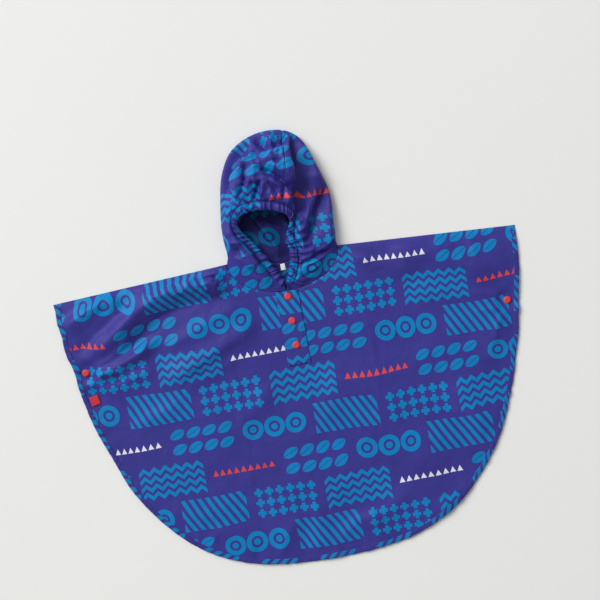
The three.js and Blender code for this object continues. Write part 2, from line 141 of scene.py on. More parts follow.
def surfaceNormals(grid):
    across = np.gradient(grid, axis=1)
    down = np.gradient(grid, axis=0)
    normal = np.cross(across, down)
    return normal / np.maximum(np.linalg.norm(normal, axis=-1, keepdims=True), 1e-9)


# One object from points in mm. cut is where each point lies on the flat cloth, in mm, and where
# the piece is a thin shell a second material is for its other side.
def meshPiece(name, points, faces, cut, materials, solid=0.0):
    mesh = bpy.data.meshes.new(name)
    mesh.from_pydata((np.asarray(points) * toMetres).tolist(), [], faces)
    flat = mesh.attributes.new("cut", "FLOAT_VECTOR", "POINT")
    place = np.zeros((len(points), 3))
    place[:, : np.asarray(cut).shape[1]] = cut
    flat.data.foreach_set("vector", place.ravel())
    mesh.shade_smooth()
    for material in materials:
        mesh.materials.append(material)
    piece = bpy.data.objects.new(name, mesh)
    bpy.context.scene.collection.objects.link(piece)
    if solid:
        shell = piece.modifiers.new("clothThickness", "SOLIDIFY")
        shell.thickness = solid * toMetres
        shell.offset = -1
        shell.use_rim = True
        shell.material_offset = len(materials) - 1
    return piece


def gridFaces(rows, columns, keep=None, loop=False, flip=False):
    faces = []
    for i in range(rows - 1):
        for j in range(columns if loop else columns - 1):
            if keep is not None and not keep[i, j]:
                continue
            k = (j + 1) % columns
            face = (i * columns + j, i * columns + k, (i + 1) * columns + k, (i + 1) * columns + j)
            faces.append(face[::-1] if flip else face)
    return faces


# A sheet of cloth from a grid of points
def sheetPiece(name, grid, place, materials, solid, flip=True):
    faces = gridFaces(*grid.shape[:2], flip=flip)
    return meshPiece(name, grid.reshape(-1, 3), faces, place.reshape(-1, 2), materials, solid)


# A closed strip from rings of points, with a face at each end
def stripPiece(name, grid, place, materials, flip=False):
    rings, around = grid.shape[:2]
    faces = gridFaces(rings, around, loop=True, flip=flip)
    first = tuple(range(around))
    last = tuple(range((rings - 1) * around, rings * around))
    faces += [first, last[::-1]] if flip else [first[::-1], last]
    return meshPiece(name, grid.reshape(-1, 3), faces, place.reshape(-1, 2), materials)


# Drops the points that no face needs
def usedOnly(points, faces, cut):
    used = np.unique([k for face in faces for k in face])
    new = np.full(len(points), -1)
    new[used] = np.arange(len(used))
    return points[used], [tuple(int(new[k]) for k in face) for face in faces], cut[used]


# Colours and finishes


def linear(code):
    parts = [int(code[k : k + 2], 16) / 255 for k in (1, 3, 5)]
    return [p / 12.92 if p <= 0.04045 else ((p + 0.055) / 1.055) ** 2.4 for p in parts] + [1.0]


def addNode(tree, kind, settings=None, inputs=()):
    node = tree.nodes.new(kind)
    for name, value in (settings or {}).items():
        setattr(node, name, value)
    for slot, value in inputs.items() if isinstance(inputs, dict) else enumerate(inputs):
        if isinstance(value, bpy.types.NodeSocket):
            tree.links.new(value, node.inputs[slot])
        else:
            node.inputs[slot].default_value = value
    return node


def startMaterial(name, shader):
    material = bpy.data.materials.new(name)
    material.use_nodes = True
    tree = material.node_tree
    tree.nodes.clear()
    surface = addNode(tree, "ShaderNodeBsdfPrincipled", None, shader)
    addNode(tree, "ShaderNodeOutputMaterial", None, {"Surface": surface.outputs[0]})
    return material, tree, surface


# The print's repeat: blocks of one motif each, every other row moved on by half a block
printRepeat = {
    "wide": 122, "high": 62, "halfWide": 54, "halfHigh": 26,
    "ground": "#39368a", "turquoise": "#007dba", "red": "#d8433f", "white": "#e0e0e6",
}


# Sums that make the motifs: name, operation and values, in millimetres on the flat cloth
def printSteps(p):
    leafTilt = math.radians(28)
    return [
        ("rowAt", "DIVIDE", "v", p["high"]),
        ("row", "FLOOR", "rowAt"),
        ("odd", "FLOORED_MODULO", "row", 2),
        ("moved", "MULTIPLY_ADD", "odd", p["wide"] / 2, "u"),
        ("columnAt", "DIVIDE", "moved", p["wide"]),
        ("column", "FLOOR", "columnAt"),
        ("x0", "FRACT", "columnAt"),
        ("x", "MULTIPLY_ADD", "x0", p["wide"], -p["wide"] / 2),
        ("y0", "FRACT", "rowAt"),
        ("y", "MULTIPLY_ADD", "y0", p["high"], -p["high"] / 2),
        ("turn", "MULTIPLY_ADD", "row", 2, "column"),
        ("kind", "FLOORED_MODULO", "turn", 6),
        ("absX", "ABSOLUTE", "x"),
        ("absY", "ABSOLUTE", "y"),
        ("inX", "LESS_THAN", "absX", p["halfWide"]),
        ("inY", "LESS_THAN", "absY", p["halfHigh"]),
        ("inside", "MULTIPLY", "inX", "inY"),
        # zigzag bands
        ("zig", "PINGPONG", "x", 9),
        ("zigY", "MULTIPLY_ADD", "zig", -0.9, "y"),
        ("zigFrom", "ADD", "zigY", 4),
        ("zigFar", "ABSOLUTE", "zigFrom"),
        ("zigIn", "LESS_THAN", "zigFar", 27),
        ("zigBand", "WRAP", "zigFrom", 13.5, 0),
        ("zigMiddle", "COMPARE", "zigBand", 6.75, 3.6),
        ("zigzag", "MULTIPLY", "zigIn", "zigMiddle"),
        # two rows of four leaves, each with a thin middle vein
        ("leafX0", "WRAP", "x", 27, 0),
        ("leafX", "SUBTRACT", "leafX0", 13.5),
        ("leafY0", "WRAP", "y", 26, 0),
        ("leafY", "SUBTRACT", "leafY0", 13),
        ("leafA", "MULTIPLY", "leafX", math.cos(leafTilt)),
        ("leafAlong", "MULTIPLY_ADD", "leafY", math.sin(leafTilt), "leafA"),
        ("leafB", "MULTIPLY", "leafX", -math.sin(leafTilt)),
        ("leafBeside", "MULTIPLY_ADD", "leafY", math.cos(leafTilt), "leafB"),
        ("leafAway", "ABSOLUTE", "leafBeside"),
        ("leafBow", "ADD", "leafAway", 8.4),
        ("leafSquare", "MULTIPLY", "leafAlong", "leafAlong"),
        ("leafSum", "MULTIPLY_ADD", "leafBow", "leafBow", "leafSquare"),
        ("leafIn", "LESS_THAN", "leafSum", 16.4**2),
        ("leafVein", "GREATER_THAN", "leafAway", 0.6),
        ("leaf", "MULTIPLY", "leafIn", "leafVein"),
        # rings round a spot
        ("ringX", "WRAP", "x", 18, -18),
        ("ringSquare", "MULTIPLY", "ringX", "ringX"),
        ("ringSum", "MULTIPLY_ADD", "y", "y", "ringSquare"),
        ("ringIn", "LESS_THAN", "ringSum", 17.2**2),
        ("ringOut", "GREATER_THAN", "ringSum", 9.6**2),
        ("ringBand", "MULTIPLY", "ringIn", "ringOut"),
        ("spot", "LESS_THAN", "ringSum", 5.4**2),
        ("ring", "MAXIMUM", "ringBand", "spot"),
        # plus signs
        ("plusX0", "WRAP", "x", 18, 0),
        ("plusX1", "SUBTRACT", "plusX0", 9),
        ("plusX", "ABSOLUTE", "plusX1"),
        ("plusY0", "WRAP", "y", 8.8, -8.8),
        ("plusY", "ABSOLUTE", "plusY0"),
        ("plusFar", "MAXIMUM", "plusX", "plusY"),
        ("plusNear", "MINIMUM", "plusX", "plusY"),
        ("plusIn", "LESS_THAN", "plusFar", 7.2),
        ("plusArm", "LESS_THAN", "plusNear", 2.9),
        ("plus", "MULTIPLY", "plusIn", "plusArm"),
        # slanting bars
        ("barAt", "MULTIPLY_ADD", "y", 0.55, "x"),
        ("barWrap", "WRAP", "barAt", 13.5, 0),
        ("bar", "LESS_THAN", "barWrap", 7),
        # one row of small triangles
        ("triX0", "WRAP", "x", 6, -6),
        ("triX", "ABSOLUTE", "triX0"),
        ("triSide", "MULTIPLY_ADD", "y", 0.5, "triX"),
        ("triIn", "LESS_THAN", "triSide", 2.6),
        ("triFoot", "GREATER_THAN", "y", -4.6),
        ("triangle", "MULTIPLY", "triIn", "triFoot"),
        # each block takes its own motif
        *[(f"is{kind}", "COMPARE", "kind", kind, 0.5) for kind in range(6)],
        ("sum0", "MULTIPLY", "zigzag", "is0"),
        ("sum2", "MULTIPLY_ADD", "leaf", "is2", "sum0"),
        ("sum3", "MULTIPLY_ADD", "ring", "is3", "sum2"),
        ("sum4", "MULTIPLY_ADD", "bar", "is4", "sum3"),
        ("sum5", "MULTIPLY_ADD", "plus", "is5", "sum4"),
        ("sum5In", "MULTIPLY", "sum5", "inX"),
        ("zigzagOut", "SUBTRACT", "sum5In", "sum0"),
        ("restIn", "MULTIPLY", "zigzagOut", "inY"),
        ("zigzagIn", "MULTIPLY", "sum0", "inX"),
        ("turquoiseShare", "MAXIMUM", "restIn", "zigzagIn"),
        ("inTriangle", "MULTIPLY", "triangle", "inside"),
        ("inAccent", "MULTIPLY", "inTriangle", "is1"),
        ("redShare", "MULTIPLY", "inAccent", "odd"),
        ("whiteShare", "SUBTRACT", "inAccent", "redShare"),
    ]


# Sums for a strip cut on the bias: only the bars are seen on it, in groups along its length
def stripSteps(p):
    return [
        ("barWrap", "WRAP", "u", 11.5, 0),
        ("bar", "LESS_THAN", "barWrap", 6.2),
        ("along", "ADD", "u", "v"),
        ("groupWrap", "WRAP", "along", p["wide"] + 18, 0),
        ("group", "LESS_THAN", "groupWrap", p["halfWide"] + 32),
        ("turquoiseShare", "MULTIPLY", "bar", "group"),
        ("whiteShare", "MULTIPLY", "bar", 0),
        ("redShare", "MULTIPLY", "bar", 0),
    ]


# The print's colour at a place on the flat cloth
def printColour(tree, cut, steps):
    split = addNode(tree, "ShaderNodeSeparateXYZ", None, [cut])
    made = {"u": split.outputs[0], "v": split.outputs[1]}
    for name, operation, *values in steps:
        values = [made.get(v, v) for v in values]
        made[name] = addNode(tree, "ShaderNodeMath", {"operation": operation}, values).outputs[0]
    # ink and cloth vary a little from place to place
    cloud = addNode(tree, "ShaderNodeTexNoise", None, {"Vector": cut, "Scale": 1 / 70, "Detail": 3.0})
    shade = addNode(tree, "ShaderNodeMapRange", None, [cloud.outputs[0], 0.3, 0.7, 0.93, 1.06])
    colour = linear(printRepeat["ground"])
    for ink in ("turquoise", "white", "red"):
        mix = addNode(tree, "ShaderNodeMix", {"data_type": "RGBA"}, {
            0: made[ink + "Share"], 6: colour, 7: linear(printRepeat[ink]),
        })
        colour = mix.outputs[2]
    tint = addNode(tree, "ShaderNodeVectorMath", {"operation": "SCALE"}, {
        0: colour, 3: shade.outputs[0],
    })
    return tint.outputs[0]


# One side of the nylon: its print made darker by shade, its weave and its crinkles
def printedNylon(name, shade, finish, steps):
    material, tree, surface = startMaterial(name, finish)
    cut = addNode(tree, "ShaderNodeAttribute", {"attribute_name": "cut"}).outputs["Vector"]
    colour = addNode(tree, "ShaderNodeVectorMath", {"operation": "SCALE"}, {
        0: printColour(tree, cut, steps), 3: shade,
    })
    tree.links.new(colour.outputs[0], surface.inputs["Base Color"])
    # threads are 0.1 mm apart, drawn 0.9 mm apart so that they show at all
    weave = addNode(tree, "ShaderNodeTexChecker", None, {"Vector": cut, "Scale": 1 / 0.9})
    weaveBump = addNode(tree, "ShaderNodeBump", None, {
        "Strength": 0.05, "Distance": 0.0001, "Height": weave.outputs[1],
    })
    crinkle = addNode(tree, "ShaderNodeTexNoise", None, {
        "Vector": cut, "Scale": 1 / 16, "Detail": 3.0, "Roughness": 0.5, "Distortion": 0.6,
    })
    bump = addNode(tree, "ShaderNodeBump", None, {
        "Strength": 0.6, "Distance": 0.0014,
        "Height": crinkle.outputs[0], "Normal": weaveBump.outputs[0],
    })
    tree.links.new(bump.outputs[0], surface.inputs["Normal"])
    return material


def nylonFace():
    # Nylon taffeta, woven from filament yarn, dyed and screen printed: a smooth, closed cloth
    # with a soft satin gleam, fine crinkles and a weave too fine to see
    finish = {"Roughness": 0.5, "IOR": 1.5, "Specular IOR Level": 0.15}
    return printedNylon("printed nylon taffeta", 1.0, finish, printSteps(printRepeat))


def nylonReverseWithPaintedShade():
    # The same taffeta's other side, coated against rain: the ink shows through it duller and somewhat
    # darker, and is drawn darker still, at 0.55, as painted shade for the shadowed inside of the hood
    finish = {"Roughness": 0.62, "IOR": 1.5, "Specular IOR Level": 0.1}
    return printedNylon("coated back of the nylon with painted shade", 0.55, finish, printSteps(printRepeat))


def nylonStrip():
    # The same taffeta cut on the bias: its print is seen slanting, a few millimetres of it at a time
    finish = {"Roughness": 0.5, "IOR": 1.5, "Specular IOR Level": 0.15}
    return printedNylon("bias strip of the nylon", 0.95, finish, stripSteps(printRepeat))


def capPlastic():
    # Acetal copolymer, injection moulded and dyed through: opaque red with a soft, clean gloss
    material, tree, surface = startMaterial("moulded acetal snap cap", {
        "Base Color": linear("#d63c3e"), "Roughness": 0.42, "IOR": 1.48, "Specular IOR Level": 0.3,
    })
    place = addNode(tree, "ShaderNodeTexCoord").outputs["Object"]
    grain = addNode(tree, "ShaderNodeTexNoise", None, {"Vector": place, "Scale": 900.0, "Detail": 2.0})
    bump = addNode(tree, "ShaderNodeBump", None, {
        "Strength": 0.12, "Distance": 0.0001, "Height": grain.outputs[0],
    })
    tree.links.new(bump.outputs[0], surface.inputs["Normal"])
    return material


def wovenTape(name, code):
    # Polyester tape, woven in narrow width: matt, with fine ribs across
    material, tree, surface = startMaterial(name, {
        "Base Color": linear(code), "Roughness": 0.75, "Sheen Weight": 0.15,
    })
    cut = addNode(tree, "ShaderNodeAttribute", {"attribute_name": "cut"}).outputs["Vector"]
    # ribs are 0.25 mm apart, drawn 0.8 mm apart so that they show
    ribsApart = 0.8
    ribs = addNode(tree, "ShaderNodeTexWave", {"bands_direction": "Y"}, {
        "Vector": cut, "Scale": 2 * math.pi / (20 * ribsApart),
    })
    bump = addNode(tree, "ShaderNodeBump", None, {
        "Strength": 0.4, "Distance": 0.0002, "Height": ribs.outputs[1],
    })
    tree.links.new(bump.outputs[0], surface.inputs["Normal"])
    fleck = addNode(tree, "ShaderNodeTexNoise", None, {"Vector": cut, "Scale": 1.2, "Detail": 2.0})
    base = linear(code)
    tint = addNode(tree, "ShaderNodeMix", {"data_type": "RGBA"}, {
        0: fleck.outputs[0],
        6: [c * 0.86 for c in base[:3]] + [1],
        7: [min(c * 1.1, 1) for c in base[:3]] + [1],
    })
    tree.links.new(tint.outputs[2], surface.inputs["Base Color"])
    return material


def sewingThread():
    # Spun polyester thread: matt and slightly fuzzy, so it catches less light than the nylon
    material, tree, surface = startMaterial("spun polyester thread", {
        "Base Color": linear("#36327f"), "Roughness": 0.7, "Sheen Weight": 0.2,
    })
    place = addNode(tree, "ShaderNodeTexCoord").outputs["Object"]
    ply = addNode(tree, "ShaderNodeTexNoise", None, {"Vector": place, "Scale": 2500.0, "Detail": 1.0})
    bump = addNode(tree, "ShaderNodeBump", None, {
        "Strength": 0.3, "Distance": 0.0001, "Height": ply.outputs[0],
    })
    tree.links.new(bump.outputs[0], surface.inputs["Normal"])
    return material


nylon = nylonFace()
# the reverse side, its print darkened as painted shade
nylonBackWithPaintedShade = nylonReverseWithPaintedShade()
nylonBias = nylonStrip()
capRed = capPlastic()
tagRed = wovenTape("woven polyester tag", "#c3202c")
labelWhite = wovenTape("woven polyester label", "#e9e7e2")
thread = sewingThread()
print("materials ready")


# Body

# Folds of the front: the line's points, its widths on the left and the right, and its height
frontFolds = [
    # left sleeve, from the shoulder down to the chest
    ([(-383, -5), (-355, 14), (-315, 32), (-280, 42)], 10, 20, 12),
    ([(-376, -54), (-340, -28), (-300, -2), (-262, 20)], 10, 11, -3.5),
    ([(-361, -66), (-308, -32), (-272, -5), (-242, 15), (-206, 28), (-158, 34), (-100, 35), (-50, 30)],
     19, 22, 17),
    ([(-296, -62), (-251, -34), (-210, -6), (-154, 8), (-80, 8)], 10, 12, -5),
    ([(-374, -92), (-317, -82), (-262, -60), (-226, -38)], 11, 14, 12),
    ([(-350, -112), (-300, -108), (-240, -88)], 10, 13, 4.5),
    ([(-226, -118), (-161, -91), (-104, -64), (-47, -42)], 28, 16, 9),
    ([(-232, -66), (-180, -48), (-120, -22), (-66, -14)], 16, 16, 5),
    ([(-200, -134), (-140, -112), (-90, -88)], 9, 14, 2.2),
    ([(-123, -209), (-84, -180), (-50, -148)], 18, 22, 4),
    ([(-300, -180), (-240, -166), (-190, -140)], 16, 20, 3),
    # right sleeve and side
    ([(166, 38), (211, 27), (255, 11), (306, -13), (348, -36)], 22, 32, 10),
    ([(198, -34), (258, -50), (322, -68)], 18, 20, 3.4),
    ([(110, 40), (160, 22), (214, -10)], 16, 18, 3.5),
    ([(300, 24), (336, 4), (372, -30)], 12, 12, 3),
    ([(342, -100), (322, -140), (306, -180)], 14, 16, 3),
    ([(236, -200), (268, -240), (282, -290)], 18, 20, 3),
    # hem
    ([(14, -424), (44, -402), (93, -392)], 11, 15, 3.6),
    ([(60, -410), (110, -384), (150, -350)], 12, 16, 3),
    ([(176, -408), (212, -388), (246, -364)], 12, 14, 3.4),
    ([(-196, -362), (-160, -392), (-122, -424)], 16, 15, 3),
    ([(-262, -322), (-220, -344), (-170, -352)], 14, 16, 2.6),
    ([(-30, -444), (-16, -400), (-12, -350)], 14, 14, 2.6),
    ([(-92, -440), (-70, -400), (-40, -372)], 10, 14, 2.6),
    ([(286, -300), (262, -262), (226, -236)], 16, 14, 2.8),
    # middle, large and very soft
    ([(20, -150), (90, -170), (160, -160)], 30, 34, 2.6),
    ([(-60, -280), (0, -300), (70, -286)], 30, 30, 2.4),
    ([(150, -300), (190, -340), (200, -390)], 24, 26, 2.4),
    # packing creases, thin and nearly straight
    ([(-116, -20), (-112, -180), (-115, -360)], 4, 5, 0.6),
    ([(121, -20), (122, -157), (115, -240), (119, -372)], 5, 4, 0.5),
    ([(20, -160), (100, -165), (190, -167)], 4, 3, 0.7),
    ([(-110, -243), (-40, -247), (20, -245)], 4, 3, 0.6),
    ([(-230, -380), (-170, -381), (-110, -378)], 4, 3, 0.5),
    ([(-300, -160), (-210, -164), (-130, -163)], 4, 3, 0.4),
    # small folds at the snaps, the shoulders and the neck
    ([(-344, -70), (-310, -60), (-270, -28)], 4, 6, 2.0),
    ([(-342, -82), (-300, -88), (-262, -98)], 4, 6, 1.8),
    ([(-346, -92), (-322, -112), (-300, -142)], 5, 6, 1.6),
    ([(-350, -62), (-338, -40), (-310, -12)], 5, 6, 2.0),
    ([(-352, 26), (-318, 34), (-286, 30)], 4, 6, 1.8),
    ([(-322, 44), (-300, 36), (-276, 16)], 4, 5, 1.6),
    ([(-262, 48), (-232, 40), (-196, 38)], 4, 6, 1.6),
    ([(-206, 50), (-172, 44), (-140, 46)], 4, 5, 1.8),
    ([(-140, 56), (-122, 44), (-114, 22)], 4, 5, 2.2),
    ([(-118, 56), (-106, 44), (-92, 38)], 3, 4, 2.2),
    ([(-126, 24), (-100, 22), (-70, 12)], 5, 6, 2.0),
    ([(-104, 18), (-84, 6), (-52, 2)], 4, 6, 1.6),
    ([(346, -86), (330, -90), (300, -86)], 4, 5, 1.8),
    ([(346, -74), (328, -62), (300, -56)], 4, 5, 1.6),
    ([(350, -96), (334, -116), (326, -146)], 4, 5, 1.6),
    ([(366, -90), (376, -94), (384, -96)], 3, 4, 1.0),
    ([(102, 50), (118, 36), (150, 28)], 4, 6, 1.6),
    ([(240, 44), (262, 30), (290, 26)], 6, 7, 1.6),
    ([(300, 44), (312, 24), (318, -4)], 6, 6, 1.4),
]
# Where the front's edge is drawn in: middle, half length along the edge and depth
edgePulls = [
    (-0.836, 0.022, 4.5), (-0.925, 0.016, 3.0), (-0.985, 0.012, 2.5),
    (-0.62, 0.03, 2.0), (0.7, 0.03, 2.0),
]
# Where the front is held down on the back: middle and half sizes
heldDown = [(-2.5, -60, 34, 84), (-356, -78, 11, 11), (357, -78, 10, 10), (-350, -126, 13, 11)]


# The neckline is half an ellipse, from turn -1 at the left neck point to 1 at the right
def neckline(turn, depth):
    angle = turn * math.pi / 2
    x = body["neckHalf"] * np.sin(angle)
    y = body["neckPointY"] - depth * np.cos(angle)
    return np.stack([x, y], axis=-1)


# The sleeve edges and the hem, from -1 at the left sleeve's tip to 1 at the right one's
def hemPoints(across):
    half = [(w, body["sleeveTipY"] - down) for down, w in body["outline"]]
    line = np.array([(-x, y) for x, y in half] + half[:-1][::-1], float)
    fine = trackThrough(line, np.linspace(0, 1, 4000))
    lengths = lengthsAlong(fine)
    return pointsAt(fine, lengths, (across + 1) / 2 * lengths[-1])


# Points from the neckline (out 0) to the binding's inner edge (1) and the hem (2)
def panelGrid(across, out, neckDepth):
    neck, hem = neckline(across, neckDepth), hemPoints(across)
    length = np.linalg.norm(hem - neck, axis=-1)
    width, at = body["bindingWidth"], out[:, None]
    reach = np.where(at <= 1, at * (length - width), length - (2 - at) * width)
    share = (reach / length)[..., None]
    return neck * (1 - share) + hem * share


# 0 where the front is held down, 1 where it lies free
def freedom(x, y):
    free = np.ones(np.shape(x))
    for mx, my, hx, hy in heldDown:
        free = free * smooth(0.9, 2.2, np.hypot((x - mx) / hx, (y - my) / hy))
    return free


def edgePull(across, out):
    total = sum(deep * np.exp(-(((across - middle) / half) ** 2)) for middle, half, deep in edgePulls)
    return total * smooth(0.75, 1.0, out)


# Height of the front's underside
def frontHeight(x, y, across, out):
    wave = 0.5 - 0.5 * np.cos(body["hemWaves"] * math.pi * (across + 1 + 0.12 * np.sin(5 * across)))
    edge = smooth(body["hemWaveFrom"], 1, np.minimum(out, 1))
    hem = body["hemWaveHeight"] * wave * edge
    pucker = softNoise(across * body["noiseRun"], out * 30, 11, 5) * 0.55
    pucker = pucker * smooth(0.88, 1, np.minimum(out, 1))
    # lumps 75, 30 and 11 mm across, drawn out on the slant
    lumps = 2.0 * softNoise(x - y * 0.4, y * 1.3, 75, 1) + 0.8 * softNoise(x + y, (y - x) * 0.5, 30, 2)
    lumps = lumps + 0.25 * softNoise(x, y, 11, 3)
    # along the left shoulder the cloth is crumpled
    shoulderRough = smooth(-10, 26, y) * (0.3 + 0.7 * smooth(-60, -110, x))
    shoulderCrumples = 1.2 * crumple(x * 0.8, y * 1.2, 24, 71) + 0.5 * crumple(x, y, 11, 73)
    lumps = lumps + shoulderRough * shoulderCrumples
    # beside the left neck point it is crowded together
    neckPucker = np.exp(-(((x + 116) / 20) ** 2) - ((y - 40) / 16) ** 2)
    lumps = lumps + neckPucker * (3.2 * crumple(x, y, 13, 75) + 1.4 * crumple(x, y, 7, 77))
    lumps = (2.0 + lumps) * (1 - 0.6 * smooth(0.8, 1.0, out))
    lift = (foldRelief(frontFolds, x, y, 1.6) + hem + lumps) * freedom(x, y)
    shoulder = smooth(0, 0.05, 1 - np.abs(across))
    lift = lift * smooth(0, 0.12, out) * (0.25 + 0.75 * shoulder)
    return cloth["lift"] + np.maximum(lift + pucker * freedom(x, y), 0)


def frontGrid():
    across = np.linspace(-1, 1, body["columns"] + 1)
    out = np.concatenate([np.linspace(0, 1, body["rows"] - 3), [1.3, 1.6, 1.85]])
    flat = panelGrid(across, out, body["frontNeckDepth"])
    x, y = flat[..., 0], flat[..., 1]
    z = frontHeight(x, y, across[None, :], out[:, None]) + cloth["wall"]
    # the sides roll down to the back along the shoulders, as far as the seam
    roll = smooth(0.012, 0, 1 - np.abs(across))[None, :] * smooth(0.02, 0.08, out)[:, None]
    z = z * (1 - roll) + 1.0 * roll
    inwards = edgePull(across[None, :], out[:, None])
    return np.stack([x - inwards * np.sign(across), y, z], axis=-1), flat, across, out


# Where points lie on the flat cloth: ridges take up a little more of it than they cover
def clothPlace(flat, z):
    x, y = flat[..., 0], flat[..., 1]
    push = 2.2 * softNoise(x, y, 70, 11), 2.0 * softNoise(x, y, 60, 12)
    rise = z - cloth["lift"] - cloth["wall"]
    return np.stack([x + push[0] + 0.25 * rise, y + push[1] + 0.6 * rise], axis=-1)


def makeFront():
    grid, flat, across, out = frontGrid()
    rows, columns = grid.shape[:2]
    middle = (grid[:-1, :-1] + grid[1:, 1:]) / 2
    slot = placket["underWide"] / 2
    keep = (np.abs(middle[..., 0] - placket["x"]) > slot) | (middle[..., 1] < -placket["underLong"])
    faces = gridFaces(rows, columns, keep, flip=True)
    place = clothPlace(flat, grid[..., 2]).reshape(-1, 2)
    points, faces, place = usedOnly(grid.reshape(-1, 3), faces, place)
    piece = meshPiece("frontPanel", points, faces, place, [nylon, nylonBackWithPaintedShade], cloth["thick"])
    return piece, grid, across


def makeBack():
    across = np.linspace(-1, 1, body["backColumns"] + 1)
    out = np.concatenate([np.linspace(0, 1, body["backRows"] - 1), [1.8]])
    flat = panelGrid(across, out, body["backNeckDepth"])
    z = np.full(flat.shape[:2], 0.85)
    z = z + 0.25 * softNoise(flat[..., 0], flat[..., 1], 34, 21) * smooth(0, 0.1, out)[:, None]
    grid = np.concatenate([flat, z[..., None]], axis=-1)
    place = flat * [-1, 1] + [37, 21]  # seen from inside, so its print runs the other way
    return sheetPiece("backPanel", grid, place, [nylonBackWithPaintedShade, nylon], cloth["thick"])


binding = {"columns": 900, "over": 0.85, "front": 1.9, "back": 1.2}


# A bias strip folded round the hem, drawn up a little by its stitches. levels are the sheet's
# undersides along the binding's inner edge and along the hem.
def makeBinding(name, levels, high, seed, pulled):
    across = np.linspace(-1, 1, binding["columns"] + 1)
    rows = panelGrid(across, np.array([1.0, 2.0]), 40)
    inner, outer = rows
    beyond = (outer - inner) / np.linalg.norm(outer - inner, axis=-1, keepdims=True)
    width = body["bindingWidth"]
    low = [np.interp(across, *level) for level in levels]
    run, still = across * body["noiseRun"], 0 * across
    pucker = softNoise(run, still, 9, seed) + 0.6 * softNoise(run, still, 4.5, seed + 1)
    # the folded strip's section: share of its width, share of its height
    section = [
        (0, 0.62), (0.02, 0.86), (0.12, 1.0), (0.3, 0.9), (0.5, 0.93), (0.75, 1.0), (0.93, 0.88),
        (1.0, 0.62), (1.0, 0.34), (0.93, 0.1), (0.75, 0), (0.4, 0), (0.06, 0.06), (0, 0.3),
    ]
    ring = []
    for share, rise in section:
        reach = share * (width + binding["over"]) + 0.35 * pucker * share
        base = inner + beyond * reach[:, None]
        base[:, 0] -= pulled * edgePull(across, 1) * np.sign(across)
        level = low[0] * (1 - share) + low[1] * share
        top = level + rise * high * (1 + 0.14 * pucker * (rise > 0.5))
        ring.append(np.concatenate([base, top[:, None]], axis=-1))
    grid = np.stack(ring, axis=1)
    # cut on the bias: the print runs at 45 degrees along the strip
    along = lengthsAlong(outer)[:, None] + 0 * grid[..., 0]
    steps = [0.0] + [math.dist(a, b) for a, b in zip(section, section[1:])]
    wrap = np.cumsum(steps)[None, :] * width
    place = np.stack([(along + wrap) * 0.707, (along - wrap) * 0.707], axis=-1)
    return stripPiece(name, grid, place, [nylonBias])


placket = {
    "x": -2.5, "wide": 38, "long": 124, "top": -0.5, "underWide": 30, "underLong": 116,
    "underTop": -1.2, "underLevel": 2.55, "clear": 0.3, "thick": 1.1,
    "columns": 60, "rows": 180, "seamIn": 2.4, "endSeam": 9,
}


def makePlacket():
    p = placket
    u, v = np.meshgrid(np.linspace(-0.5, 0.5, p["columns"] + 1), np.linspace(0, 1, p["rows"] + 1))
    x = p["x"] + u * p["wide"] + 0.35 * softNoise(u * 10, v * 130, 12, 31) * np.abs(u) * 2
    y = p["top"] - v * p["long"]
    edge = np.minimum((0.5 - np.abs(u)) * p["wide"], np.minimum(v, 1 - v) * p["long"])
    puff = 0.55 * smooth(0, 1.6, edge) - 0.35 * np.exp(-(((edge - p["seamIn"]) / 0.8) ** 2))
    puff = puff + 0.3 * softNoise(x, y, 14, 32) * smooth(2, 8, edge)
    puff = puff + 0.18 * softNoise(x, y * 1.2, 5, 33) * smooth(6, 1, edge)
    grid = np.stack([x, y, cloth["lift"] + cloth["wall"] + p["clear"] + p["thick"] + puff], axis=-1)
    place = np.stack([x + 31, y - 18], axis=-1)
    upper = sheetPiece("placketUpper", grid, place, [nylon], p["thick"])
    u, v = np.meshgrid(np.linspace(-0.5, 0.5, 13), np.linspace(0, 1, 41))
    x = p["x"] + u * (p["underWide"] - 2 * p["clear"])
    y = p["underTop"] - v * (p["underLong"] - 2)
    under = np.stack([x, y, 0 * u + p["underLevel"]], axis=-1)
    lower = sheetPiece("placketUnder", under, under[..., :2], [nylon, nylonBackWithPaintedShade], cloth["thick"])
    return upper, lower


front, frontPoints, frontAcross = makeFront()
back = makeBack()
backLevel = (frontAcross, np.zeros(len(frontAcross)))
frontLevels = [
    (frontAcross, frontPoints[row, :, 2] - cloth["wall"]) for row in (body["bindingRow"], -1)
]
frontBinding = makeBinding("hemBindingFront", frontLevels, binding["front"], 41, 1)
backBinding = makeBinding("hemBindingBack", [backLevel, backLevel], binding["back"], 43, 0.4)
placketUpper, placketUnder = makePlacket()
print("body ready")


# Hood

